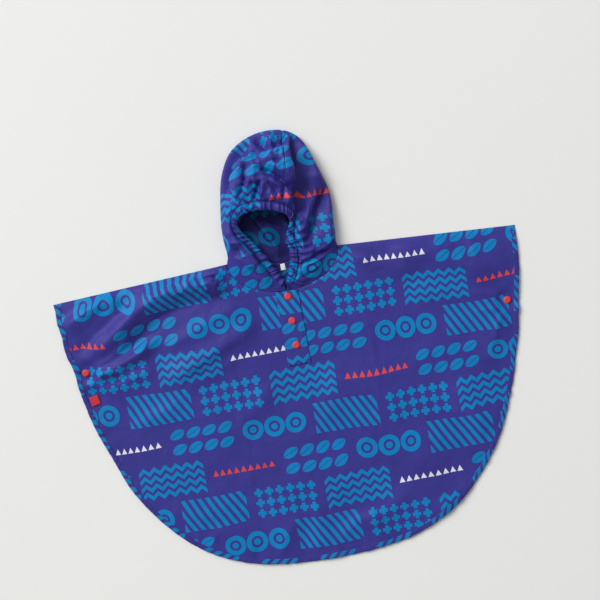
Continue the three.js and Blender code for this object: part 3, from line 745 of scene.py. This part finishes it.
hood = {
    # rim is the mouth's edge, crest the top of the cloth, edge its fold at the outline and neck its
    # place on the neck seam, from 0 at the front round by the left neck point to 4
    "sections": [
        ((-3.6, 15, 4.6), (-4.4, 9, 5.2), (-4.7, 5, 4.4), 0.032),
        ((-12, 36, 6), (-27, 31, 12), (-46, 21, 7.5), 0.5),
        ((-25, 60, 9), (-48, 54, 19), (-75, 46, 10), 0.82),
        ((-39, 82, 13), (-63, 78, 23), (-88, 74, 11), 1),
        ((-56, 104, 20), (-74, 104, 27), (-92, 106, 12), 1.2),
        ((-63, 120, 29), (-75, 134, 30), (-88, 152, 11), 1.38),
        ((-57, 132, 38), (-66, 166, 43), (-75, 210, 11), 1.55),
        ((-40, 137, 42), (-43, 188, 49), (-52, 246, 11), 1.75),
        ((-12, 135, 43), (-4, 198, 48), (-8, 266, 11), 1.92),
        ((13, 125.5, 41), (26, 192, 49), (36, 264, 11), 2.1),
        ((20, 119, 37), (42, 165, 40), (62, 246, 11), 2.3),
        ((22, 111, 31), (47, 140, 26), (80, 204, 10), 2.48),
        ((17, 101, 25), (56, 122, 30), (95, 150, 12), 2.64),
        ((11, 84, 19), (54, 90, 29), (94, 98, 12), 2.82),
        ((13, 66, 14), (52, 62, 21), (91, 70, 10), 3),
        ((11, 45, 10.5), (36, 38, 15), (68, 36, 9), 3.2),
        ((5, 29, 8), (18, 20, 10), (36, 13, 6.5), 3.58),
        ((-0.4, 15, 4.6), (-0.6, 9, 5.2), (-0.7, 5, 4.4), 4),
    ],
    "middle": (0, 125), "underIn": 8, "browOut": 0.62, "browDown": 0.42,
    "turnsUnder": (0.98, 1.16), "neckDrop": 0.12, "seamSection": 9, "smoothUntil": (0.25, 0.4),
    "mouthLength": 345, "printFrom": (76, 62),
    "casingWidth": 14, "columns": 520, "rows": 150, "casingColumns": 1000,
}

# Folds of the hood's upper side, in the front's columns
hoodFolds = [
    # the crown's raised flap, and the lower cloth along its left edge
    ([(-18, 257), (-40, 242), (-61, 221), (-76, 197), (-71, 174), (-63, 156)], 6, 12, -20),
    ([(-10, 246), (-30, 228), (-48, 206), (-62, 188)], 9, 5, 6),
    ([(-64, 186), (-58, 168), (-52, 156)], 6, 4, 4),
    ([(-62, 240), (-78, 214), (-86, 188), (-86, 158)], 7, 6, 5),
    # the crown's right edge, and the deep valley beside it
    ([(48, 262), (42, 243), (36, 218), (37, 195), (40, 173)], 7, 17, 9),
    ([(55, 264), (51, 240), (49, 215), (48, 190), (46, 160), (41, 134), (35, 110)], 13, 6, -17),
    ([(68, 242), (76, 212), (83, 182), (88, 160)], 8, 20, 11),
    # across the crown
    ([(-20, 262), (-4, 250), (8, 239), (26, 243), (38, 250), (47, 258)], 7, 9, -14),
    ([(-11, 258), (14, 257), (38, 254)], 7, 6, 1.5),
    ([(-8, 224), (6, 208), (20, 196), (34, 181), (46, 163)], 16, 4, 8),
    ([(-16, 213), (-5, 202), (9, 190), (26, 174), (42, 156)], 2.8, 4.5, -13),
    ([(0, 229), (13, 228), (25, 226)], 9, 7, 6),
    ([(-2, 214), (12, 211), (28, 209)], 3, 5, -7),
    ([(-24, 226), (-22, 208), (-28, 192)], 5, 7, 4.5),
    ([(-32, 218), (-39, 202), (-42, 186)], 3, 4, -7),
    ([(-42, 240), (-26, 232), (-8, 230)], 5, 5, -9),
    ([(-26, 214), (-10, 198), (-4, 184)], 5, 6, 4),
    ([(14, 206), (24, 196), (34, 194)], 5, 5, 4),
    ([(-50, 180), (-36, 184), (-22, 178)], 3, 4, -5),
    # gathers that reach up from the casing
    ([(-14, 187), (-21, 172), (-30, 155)], 2.8, 3, -9),
    ([(-9, 184), (-14, 172), (-20, 158)], 5, 4, 4.5),
    ([(-38, 200), (-44, 183), (-51, 165)], 3, 3.4, -7),
    ([(-31, 192), (-37, 178), (-41, 162)], 5, 5, 5),
    ([(-54, 190), (-56, 174), (-57, 160)], 4, 4, 3.6),
    ([(-4, 181), (6, 170), (11, 156)], 3, 3, -7),
    ([(3, 186), (12, 174), (18, 162)], 5, 4, 4),
    ([(-2, 168), (0, 160), (2, 148)], 3.5, 3.5, 4),
    ([(26, 172), (21, 160), (15, 145)], 3.5, 4, -4.5),
    ([(33, 160), (26, 148), (22, 138)], 4, 4, 4),
    # the right side: a deep valley, and a wide face that rises from it to the outline
    ([(100, 158), (84, 144), (73, 129), (64, 109), (53, 89), (42, 70)], 17, 7, -18),
    ([(60, 150), (56, 128), (48, 104), (40, 84)], 7, 8, 5),
    ([(99, 134), (96, 104), (87, 78), (76, 58)], 9, 18, 10),
    ([(74, 186), (70, 168), (72, 150)], 12, 12, 3),
    # along the mouth's right side
    ([(30, 116), (38, 120), (46, 128)], 3, 3, 3.6),
    ([(28, 104), (38, 107), (48, 114)], 3, 3.4, 4),
    ([(27, 93), (38, 94), (48, 98)], 3, 3.2, 4),
    ([(26, 83), (38, 82), (52, 85)], 3, 3.4, 4.4),
    ([(25, 72), (38, 70), (54, 72)], 3, 3.4, 4),
    ([(24, 61), (38, 58), (56, 60)], 3, 3.4, 4),
    ([(20, 49), (34, 47), (52, 50)], 3, 3.2, 3.4),
    # the rolled cloth at the right of the neck
    ([(99, 59), (79, 55), (58, 49), (37, 42), (17, 34)], 3.2, 3.2, -7),
    ([(94, 54), (76, 49), (56, 42), (36, 35)], 2.8, 2.6, 4),
    ([(99, 48), (78, 40), (59, 31), (36, 24)], 4, 4.5, 5),
    ([(92, 41), (71, 30), (50, 22), (26, 17)], 3, 3, -4.5),
    ([(84, 74), (72, 62), (56, 55)], 4, 5, 3),
    ([(92, 66), (80, 60), (66, 57)], 3, 3, 2.6),
    # the left side
    ([(-79, 132), (-72, 108), (-59, 80), (-46, 56), (-34, 34)], 6, 11, 6),
    ([(-90, 150), (-84, 128), (-82, 104)], 5, 5, -4),
    ([(-84, 96), (-70, 92), (-60, 96)], 5, 6, 3),
    ([(-84, 112), (-76, 88), (-64, 66)], 7, 7, -4),
    ([(-88, 124), (-83, 98), (-76, 74)], 6, 7, 3.4),
    ([(-80, 70), (-62, 58), (-48, 44)], 5, 6, 2.6),
    ([(-74, 44), (-56, 30), (-38, 22)], 4, 6, 2.4),
]
# Folds of its lower side, seen through the mouth
hoodFloorFolds = [
    ([(-40, 136), (-25, 106), (-11, 79), (-4, 50)], 13, 2.6, 9),
    ([(-20, 118), (-4, 110), (14, 104)], 3, 7, 4.5),
    ([(-36, 90), (-22, 76), (-10, 60)], 4, 6, 3),
    ([(14, 130), (16, 100), (14, 70)], 5, 6, 5),
    ([(-60, 200), (-40, 170), (-20, 150)], 8, 10, 3),
    ([(20, 210), (40, 185), (60, 160)], 8, 10, 3),
]


# Points on the neck seam at places from 0 to 4, as in the sections
def neckSeam(place):
    backPart = (place > 1) & (place < 3)
    depth = np.where(backPart, body["backNeckDepth"], body["frontNeckDepth"])
    turn = np.where(backPart, place - 2, np.where(place <= 1, -place, 4 - place))
    point = neckline(turn, depth)
    sideways, upwards = -point[:, 0] / body["neckHalf"] ** 2, (body["neckPointY"] - point[:, 1]) / depth**2
    inwards = np.stack([sideways, upwards], axis=-1)
    inwards = 0.4 * inwards / np.linalg.norm(inwards, axis=-1, keepdims=True)
    nearest = np.minimum(place - 1, 3 - place)
    ramp = np.where(backPart, 1 - smooth(0, hood["neckDrop"], nearest), 1)
    z = (cloth["lift"] + cloth["wall"]) * ramp
    return np.concatenate([point + inwards, z[:, None]], axis=-1)


# The hood's sections at places around the mouth, finely sampled, and where each turns under
def hoodCurves(around):
    rows = hood["sections"]
    rim, crest, edge = [trackThrough([row[k] for row in rows], around) for k in range(3)]
    places = np.interp(around * (len(rows) - 1), range(len(rows)), [row[3] for row in rows])
    neck = neckSeam(places)
    backShare = smooth(*hood["turnsUnder"], np.minimum(places, 4 - places))[:, None]
    inwards = np.array([*hood["middle"], 0]) - edge
    inwards[:, 2] = 0
    under = edge + hood["underIn"] * inwards / np.linalg.norm(inwards, axis=-1, keepdims=True)
    under[:, 2] = 0
    under = (edge + neck) / 2 * (1 - backShare) + under * backShare
    floor = under * 0.8 + neck * 0.2
    fall = crest + (edge - crest) * hood["browOut"]
    fall[:, 2] = crest[:, 2] + (edge[:, 2] - crest[:, 2]) * hood["browDown"]
    shares = np.linspace(0, 1, 361)
    curve = trackThrough(np.stack([rim, crest, fall, edge, under, floor, neck]), shares)
    lengths = lengthsAlong(curve)
    return curve, lengths, lengths[180], rim, edge


# Points of the hood's cloth at distances from the mouth's edge
def clothGrid(around, distancesOf):
    curve, lengths, toEdge, rim, edge = hoodCurves(around)
    total = lengths[-1]
    distance = distancesOf(total)
    grid = np.zeros(distance.shape + (3,))
    for j in range(len(around)):
        grid[:, j] = pointsAt(curve[:, j], lengths[:, j], distance[:, j])
    grid[..., 2] = np.maximum(grid[..., 2], 0.05)
    # on the flat cloth the print stands upright: out from the mouth on the upper side, and
    # turned over at the outline on the lower side
    outwards = (edge - rim)[:, :2]
    outwards = outwards / np.linalg.norm(outwards, axis=-1, keepdims=True)
    place = rim[None, :, :2] + outwards[None] * np.minimum(distance, toEdge)[..., None]
    edgePlace = rim[:, :2] + outwards * toEdge[:, None]
    order = np.argsort(edge[:, 1])
    levels = edge[order, 1] + np.arange(len(order)) * 1e-6
    y = grid[..., 1]
    away = np.abs(np.interp(y, levels, edge[order, 0]) - grid[..., 0])
    side = np.sign(np.interp(y, levels, edge[order, 0]))
    turnedX, turnedY = [np.interp(y, levels, edgePlace[order, k]) for k in (0, 1)]
    turned = np.stack([turnedX + side * away, turnedY], axis=-1)
    place = np.where((distance > toEdge)[..., None], turned, place)
    return grid, distance, total, toEdge, place


gathers = {"count": 50, "seed": 7, "reach": (8, 34), "longReach": 62, "longEvery": 4, "height": 3.4}


# The gathers along the elastic: place, width, height, reach and slant, all uneven
def gatherTable():
    rng = np.random.default_rng(gathers["seed"])
    count = gathers["count"]
    place = (np.arange(count) + 0.5 + rng.uniform(-0.38, 0.38, count)) / count
    width = rng.uniform(0.0036, 0.0074, count)
    height = gathers["height"] * rng.uniform(0.45, 1.0, count)
    reach = rng.uniform(*gathers["reach"], count)
    longOnes = rng.permutation(count)[: count // gathers["longEvery"]]
    reach[longOnes] = gathers["longReach"] * rng.uniform(0.55, 1.0, len(longOnes))
    slant = rng.uniform(-1, 1, count) * 0.00025
    return np.stack([place, width, height, reach, slant], axis=1)


gatherRows = gatherTable()


# How far the gathers lift the cloth, at places around the mouth and distances from its edge
def gatherHeight(around, distance):
    total = np.zeros(np.broadcast(around, distance).shape)
    past = np.maximum(distance - hood["casingWidth"], 0)
    for place, width, height, reach, slant in gatherRows:
        spread = width * (1 + past / 26)
        beside = (around - place - slant * past) / spread
        total = total + height * np.exp(-((beside**2 + 0.02) ** 0.75)) * (1 - smooth(0, reach, past)) ** 1.3
    return total


# Crumples of the hood's cloth, deepest over the crown and beside the mouth
def hoodCrumples(u, v, x, y, past):
    nearMouth = smooth(60, 15, past)
    crown = smooth(130, 155, y) * smooth(46, 34, x)
    rough = 0.8 * softNoise(u, v, 26, 51) + 2.0 * crown * crumple(u * 1.2, v * 0.8, 42, 56)
    rough = rough + (0.3 + 0.5 * nearMouth + 1.5 * crown) * crumple(u, v, 23, 52)
    return rough + (0.3 * nearMouth + 0.6 * crown) * crumple(u, v, 11, 54)


# One half of the hood, from start to end around the mouth
def makeHoodSide(name, start, end, columns):
    around = np.linspace(start, end, columns + 1)
    shares = np.linspace(0, 1, hood["rows"] + 1) ** 1.35
    casing = hood["casingWidth"]

    def distancesOf(total):
        band = casing * (1 - np.exp(-total / casing))
        tuck = np.maximum(band - 2.5, band * 0.6)
        return tuck + (total - tuck) * shares[:, None]

    grid, distance, total, toEdge, place = clothGrid(around, distancesOf)
    place = place + hood["printFrom"]
    normal = surfaceNormals(grid)
    upper = normal[..., 2]
    x, y, z = grid[..., 0], grid[..., 1], grid[..., 2]
    past, toNeck, fromOutline = distance - casing, total - distance, toEdge - distance
    clear = smooth(casing - 1, casing + 9, distance) * smooth(0, 13, fromOutline) * smooth(4, 11, z)
    lift = foldRelief(hoodFolds, x, y, 1.45) * clear * smooth(0, 0.6, upper)
    # the gathers reach less far on the lower left, which lies smooth
    gathered = 0.3 + 0.7 * smooth(*hood["smoothUntil"], around[None, :])
    lift = lift + gatherHeight(around[None, :], distance) * smooth(0, 9, toNeck) * gathered
    rough = hoodCrumples(place[..., 0], place[..., 1], x, y, past) * smooth(0, 18, fromOutline)
    rough = rough * smooth(casing, casing + 12, distance) * smooth(2, 14, toNeck)
    lift = lift + rough * smooth(-0.4, 0.3, upper)
    # the cloth is drawn in at the casing's seam and swells beyond it
    swell = 2.6 * np.exp(-(((past - 12) / 8) ** 2)) - 2.4 * np.exp(-((past / 2.6) ** 2))
    lift = lift + swell * smooth(0, 12, toNeck) * smooth(30, 60, total)
    onFloor = smooth(8, 30, distance - toEdge) * smooth(2, 20, toNeck)
    floorLift = np.maximum(foldRelief(hoodFloorFolds, x, y), 0) + 0.5 + 0.5 * softNoise(x, y, 16, 53)
    lift = lift - floorLift * onFloor
    # the centre seam pulls the cloth in along a narrow line
    fromSeam = np.abs(around - seamPlace)[None, :] * hood["mouthLength"]
    lift = lift - 0.9 * np.exp(-((fromSeam / 1.2) ** 2)) * smooth(0, 12, distance)
    grid = grid + normal * lift[..., None]
    # where the cloth faces up, its thickness below it stays above the table
    grid[..., 2] = np.maximum(grid[..., 2], 0.05 + cloth["thick"] * np.clip(upper, 0, 1))
    # the hood's inner side takes the reverse, its print darkened as painted shade
    piece = sheetPiece(name, grid, place, [nylon, nylonBackWithPaintedShade], cloth["thick"], flip=False)
    return piece, grid


# Rings of the gathered casing round the mouth's elastic
def casingSection(around):
    casing = hood["casingWidth"]
    # share across the band, from the mouth's edge out, and whether the point is on its outer side
    outer = [(s, 1) for s in (0.02, 0.08, 0.18, 0.32, 0.48, 0.64, 0.78, 0.86, 0.93, 0.985)]
    inner = [(s, -1) for s in (0.94, 0.75, 0.5, 0.25, 0.07)]
    ring = np.array(outer + inner)
    shares = ring[:, 0]
    evenShares = np.linspace(0, 1, 15)

    def distancesOf(total, across=shares):
        return across[:, None] * casing * (1 - np.exp(-total / casing))

    grid, distance, total, _, place = clothGrid(around, distancesOf)
    evenGrid = clothGrid(around, lambda total: distancesOf(total, evenShares))[0]
    nearest = (shares * (len(evenShares) - 1)).round().astype(int)
    normal = surfaceNormals(evenGrid)[nearest]
    arch = np.sqrt(np.clip(1 - (2 * shares - 1) ** 2, 0, 1))[:, None]
    full = smooth(0, 22, total)[None, :]
    puffs = gatherHeight(around[None, :], 0 * distance)
    groove = 1.5 * np.exp(-(((shares - 0.8) / 0.06) ** 2))[:, None]
    top = (2.5 + 1.5 * puffs) * arch - groove
    bottom = -(1.1 + 0.2 * puffs) * arch
    lift = np.where(ring[:, 1:] > 0, top, bottom) * (0.35 + 0.65 * full)
    # between two gathers the rim is drawn back a little
    inwards = grid[0] - grid[len(outer) - 1]
    inwards = inwards / np.maximum(np.linalg.norm(inwards, axis=-1, keepdims=True), 1e-9)
    rimward = (puffs - 0.9) * 0.7 * (1 - shares[:, None]) ** 2 * full
    return grid + normal * lift[..., None] + inwards[None] * rimward[..., None], place + hood["printFrom"]


def makeCasing():
    around = np.linspace(0, 1, hood["casingColumns"] + 1)
    grid, place = casingSection(around)
    grid, place = grid.transpose(1, 0, 2), place.transpose(1, 0, 2)
    grid[..., 2] = np.maximum(grid[..., 2], cloth["lift"])
    return stripPiece("hoodCasing", grid, place, [nylon], flip=True), grid


seamPlace = hood["seamSection"] / (len(hood["sections"]) - 1)
leftColumns = int(hood["columns"] * seamPlace)
hoodLeft, leftGrid = makeHoodSide("hoodLeft", 0, seamPlace, leftColumns)
hoodRight, rightGrid = makeHoodSide("hoodRight", seamPlace + 0.0004, 1, hood["columns"] - leftColumns)
hoodCasing, casingGrid = makeCasing()
print("hood ready")


# Press studs, tag and label

stud = {
    "radius": 6.2, "high": 2.6, "sides": 48,
    # radius share and height share: a low dome with a soft rim and a shallow dimple in its middle
    "profile": [
        (0, 0.90), (0.10, 0.905), (0.2, 0.935), (0.3, 0.985), (0.42, 1.0), (0.56, 0.985), (0.7, 0.92),
        (0.82, 0.80), (0.9, 0.66), (0.955, 0.52), (0.985, 0.38), (1.0, 0.24), (0.98, 0.1), (0.9, 0.0),
    ],
    "nodes": ["stud_neck", "stud_middle", "stud_low", "stud_side_left", "stud_side_right"],
}


def makeStud(node):
    low, high = [np.array(corner) * 1000 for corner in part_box(node)]
    middle = (low + high) / 2
    turns = np.arange(stud["sides"]) * 2 * math.pi / stud["sides"]
    points, faces = [(middle[0], middle[1], low[2] + stud["profile"][0][1] * stud["high"])], []
    for share, rise in stud["profile"][1:]:
        away, z = share * stud["radius"], low[2] + rise * stud["high"]
        for turn in turns:
            points.append((middle[0] + away * math.cos(turn), middle[1] + away * math.sin(turn), z))
    n, rings = stud["sides"], len(stud["profile"]) - 1
    faces += [(0, 1 + k, 1 + (k + 1) % n) for k in range(n)]
    for r in range(rings - 1):
        a, b = 1 + r * n, 1 + (r + 1) * n
        faces += [(a + k, b + k, b + (k + 1) % n, a + (k + 1) % n) for k in range(n)]
    faces.append(tuple(1 + (rings - 1) * n + k for k in reversed(range(n))))
    name = node.replace("_", " ").title().replace(" ", "")
    points = np.array(points)
    return meshPiece(name[0].lower() + name[1:], points, faces, points[:, :2], [capRed])


# A short piece of woven tape, folded double, with soft corners
def makeTape(name, node, wide, long, turn, thick, material):
    low, high = [np.array(corner) * 1000 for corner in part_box(node)]
    middle = (low + high) / 2
    u, v = np.meshgrid(np.linspace(-0.5, 0.5, 17), np.linspace(0.5, -0.5, 19))
    c, s = math.cos(math.radians(turn)), math.sin(math.radians(turn))
    edge = np.minimum((0.5 - np.abs(u)) * wide, (0.5 - np.abs(v)) * long)
    z = high[2] - 0.35 * (1 - smooth(0, 1.2, edge)) + 0.12 * softNoise(u * 30, v * 30, 9, 61)
    x = middle[0] + u * wide * c - v * long * s
    y = middle[1] + u * wide * s + v * long * c
    grid = np.stack([x, y, z], axis=-1)
    place = np.stack([u * wide, v * long], axis=-1)
    return sheetPiece(name, grid, place, [material], thick)


studs = {node: makeStud(node) for node in stud["nodes"]}
sideTag = makeTape("sideTag", "side_tag", 15, 16, 12, 0.9, tagRed)
neckLabel = makeTape("neckLabel", "neck_label", 8, 11, 0, 0.6, labelWhite)
print("studs and labels ready")


# Stitches, laid by Geometry Nodes along paths over the cloth

stitch = {
    "apart": 3.3, "long": 2.5, "thick": 0.42, "proud": 0.08,
    # rows and columns of the hood's points that its stitches follow
    "casingEnds": 8, "casingPoint": 7, "seamRows": (8, 74), "besideSeam": (-3, 2), "neckRow": -4,
}


# The lines that the stitches follow: hem, placket, casing, the hood's centre seam and its neck
def stitchPaths():
    paths = []
    across = np.linspace(-0.985, 0.985, 700)
    inner = panelGrid(across, np.array([1.12]), body["frontNeckDepth"])[0]
    inner[:, 0] -= edgePull(across, 1) * np.sign(across)
    level = np.interp(across, frontAcross, frontPoints[body["bindingRow"], :, 2])
    paths.append(np.column_stack([inner, level - cloth["wall"] + binding["front"] * 0.99]))
    p = placket
    left, right = p["x"] - p["wide"] / 2 + p["seamIn"], p["x"] + p["wide"] / 2 - p["seamIn"]
    bottom, top = p["top"] - p["long"] + p["seamIn"], p["top"] - 1.5
    level = cloth["lift"] + cloth["wall"] + p["clear"] + p["thick"] + 0.25
    corners = [(left, top), (left, bottom), (right, bottom), (right, top)]
    endSeam = bottom + p["endSeam"]
    for a, b in [*zip(corners, corners[1:]), ((left, endSeam), (right, endSeam))]:
        t = np.linspace(0, 1, 40)[:, None]
        line = np.array(a) * (1 - t) + np.array(b) * t
        paths.append(np.column_stack([line, np.full(len(line), level)]))
    ends = stitch["casingEnds"]
    paths.append(casingGrid[ends:-ends, stitch["casingPoint"]] + [0, 0, stitch["proud"]])
    for grid, column in zip((leftGrid, rightGrid), stitch["besideSeam"]):
        paths.append(grid[slice(*stitch["seamRows"]), column] + [0, 0, stitch["proud"] + 0.2])
    for grid in (leftGrid, rightGrid):
        row = grid[stitch["neckRow"]]
        ok = row[:, 2] > 2.0
        if ok.sum() > 8:
            paths.append(row[ok] + [0, 0, stitch["proud"] + 0.1])
    return paths


def stitchTree():
    tree = bpy.data.node_groups.new("stitchesAlongPaths", "GeometryNodeTree")
    sockets = {}
    newSocket = tree.interface.new_socket
    newSocket("Geometry", in_out="INPUT", socket_type="NodeSocketGeometry")
    for name in ("Apart", "Long", "Thick"):
        sockets[name] = newSocket(name, in_out="INPUT", socket_type="NodeSocketFloat").identifier
    newSocket("Geometry", in_out="OUTPUT", socket_type="NodeSocketGeometry")
    source = addNode(tree, "NodeGroupInput").outputs
    dots = addNode(tree, "GeometryNodeCurveToPoints", {"mode": "LENGTH"}, {
        "Curve": source["Geometry"], "Length": source["Apart"],
    })
    bead = addNode(tree, "GeometryNodeMeshIcoSphere", None, {"Radius": 0.5, "Subdivisions": 1})
    size = addNode(tree, "ShaderNodeCombineXYZ", None, [
        source["Long"], source["Thick"], source["Thick"],
    ])
    # each stitch leans a little its own way, with a fixed seed
    sway = addNode(tree, "FunctionNodeRandomValue", {"data_type": "FLOAT_VECTOR"}, {
        0: (-0.06, -0.06, -0.06), 1: (0.06, 0.06, 0.06), "Seed": 3,
    })
    lean = addNode(tree, "ShaderNodeVectorMath", {"operation": "ADD"}, [
        dots.outputs["Tangent"], sway.outputs[0],
    ])
    turn = addNode(tree, "FunctionNodeAlignRotationToVector", {"axis": "X"}, {"Vector": lean.outputs[0]})
    placed = addNode(tree, "GeometryNodeInstanceOnPoints", None, {
        "Points": dots.outputs["Points"], "Instance": bead.outputs["Mesh"],
        "Rotation": turn.outputs[0], "Scale": size.outputs[0],
    })
    real = addNode(tree, "GeometryNodeRealizeInstances", None, [placed.outputs[0]])
    dressed = addNode(tree, "GeometryNodeSetMaterial", None, {
        "Geometry": real.outputs[0], "Material": thread,
    })
    addNode(tree, "NodeGroupOutput", None, [dressed.outputs[0]])
    return tree, sockets


def makeStitches():
    curve = bpy.data.curves.new("stitchLines", "CURVE")
    curve.dimensions = "3D"
    for path in stitchPaths():
        spline = curve.splines.new("POLY")
        spline.points.add(len(path) - 1)
        flat = np.column_stack([path * toMetres, np.ones(len(path))])
        spline.points.foreach_set("co", flat.ravel())
    lines = bpy.data.objects.new("stitchLines", curve)
    bpy.context.scene.collection.objects.link(lines)
    tree, sockets = stitchTree()
    layer = lines.modifiers.new("stitches", "NODES")
    layer.node_group = tree
    layer[sockets["Apart"]] = stitch["apart"] * toMetres
    layer[sockets["Long"]] = stitch["long"] * toMetres
    layer[sockets["Thick"]] = stitch["thick"] * toMetres
    ready = lines.evaluated_get(bpy.context.evaluated_depsgraph_get())
    mesh = bpy.data.meshes.new_from_object(ready)
    bpy.data.objects.remove(lines)
    mesh.shade_smooth()
    piece = bpy.data.objects.new("stitches", mesh)
    bpy.context.scene.collection.objects.link(piece)
    return piece


stitches = makeStitches()
print("stitches ready:", len(stitches.data.polygons), "faces")


# What each piece stands for

pieces = {
    front: ["front_panel"], back: ["back_panel"], frontBinding: ["hem_binding_front"],
    backBinding: ["hem_binding_back"], placketUpper: ["placket_upper"], placketUnder: ["placket_under"],
    hoodLeft: ["hood_left"], hoodRight: ["hood_right"], hoodCasing: ["hood_casing"],
    sideTag: ["side_tag"], neckLabel: ["neck_label"],
}
for node, piece in studs.items():
    pieces[piece] = [node]
for piece, nodes in pieces.items():
    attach(piece, "root")
    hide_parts(*nodes)
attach(stitches, "root")

print("pieces declared")


# Table, light and camera

studio = {
    "table": "#ececea", "size": 6.0, "turn": 9.87, "eye": (0.0165, -0.0193, 2.2), "wide": 1.002,
    "sky": 0.335, "skyTilt": 0.38, "keyWatts": 1380.0, "keyPlace": (-6.4, 6.5, 7.8), "keySize": 7.0,
}


def makeTable():
    # Painted board: matt, pale and even, with a faint cloudiness
    material, tree, surface = startMaterial("painted table board", {
        "Roughness": 0.8, "Specular IOR Level": 0.25,
    })
    place = addNode(tree, "ShaderNodeTexCoord").outputs["Object"]
    cloud = addNode(tree, "ShaderNodeTexNoise", None, {"Vector": place, "Scale": 2.2, "Detail": 2.0})
    base = linear(studio["table"])
    tint = addNode(tree, "ShaderNodeMix", {"data_type": "RGBA"}, {
        0: cloud.outputs[0],
        6: [c * 0.985 for c in base[:3]] + [1],
        7: [c * 1.01 for c in base[:3]] + [1],
    })
    tree.links.new(tint.outputs[2], surface.inputs["Base Color"])
    half = studio["size"] / 2
    corners = [(-half, -half, 0), (half, -half, 0), (half, half, 0), (-half, half, 0)]
    mesh = bpy.data.meshes.new("tableTop")
    mesh.from_pydata(corners, [], [(0, 1, 2, 3)])
    mesh.materials.append(material)
    table = bpy.data.objects.new("tableTop", mesh)
    bpy.context.scene.collection.objects.link(table)
    return table


def aimAt(thing, target):
    direction = np.array(target) - np.array(thing.location)
    thing.rotation_euler = Vector(direction).to_track_quat("-Z", "Y").to_euler()


def makeStudio():
    makeTable()
    # a white room, lighter on the window's side
    world = bpy.data.worlds.new("paleRoom")
    world.use_nodes = True
    tree = world.node_tree
    tree.nodes.clear()
    to = np.array(studio["keyPlace"]) / np.linalg.norm(studio["keyPlace"])
    look = addNode(tree, "ShaderNodeTexCoord").outputs["Generated"]
    facing = addNode(tree, "ShaderNodeVectorMath", {"operation": "DOT_PRODUCT"}, [look, tuple(to)])
    least, most = [studio["sky"] * (1 + sign * studio["skyTilt"]) for sign in (-1, 1)]
    light = addNode(tree, "ShaderNodeMapRange", None, [facing.outputs[1], -1.0, 1.0, least, most])
    room = addNode(tree, "ShaderNodeBackground", None, [(1, 1, 1, 1), light.outputs[0]])
    addNode(tree, "ShaderNodeOutputWorld", None, [room.outputs[0]])
    bpy.context.scene.world = world
    lamp = bpy.data.lights.new("softWindow", "AREA")
    lamp.energy = studio["keyWatts"]
    lamp.shape = "SQUARE"
    lamp.size = studio["keySize"]
    key = bpy.data.objects.new("softWindow", lamp)
    key.location = studio["keyPlace"]
    bpy.context.scene.collection.objects.link(key)
    aimAt(key, (0, 0, 0))
    camera = bpy.data.objects.new("overhead", bpy.data.cameras.new("overhead"))
    camera.location = studio["eye"]
    camera.rotation_euler = (0, 0, -math.radians(studio["turn"]))
    camera.data.sensor_width = 36
    camera.data.lens = 36 * studio["eye"][2] / studio["wide"]
    bpy.context.scene.collection.objects.link(camera)
    bpy.context.scene.camera = camera
    bpy.context.scene.view_settings.view_transform = "Standard"


makeStudio()
print("studio ready")
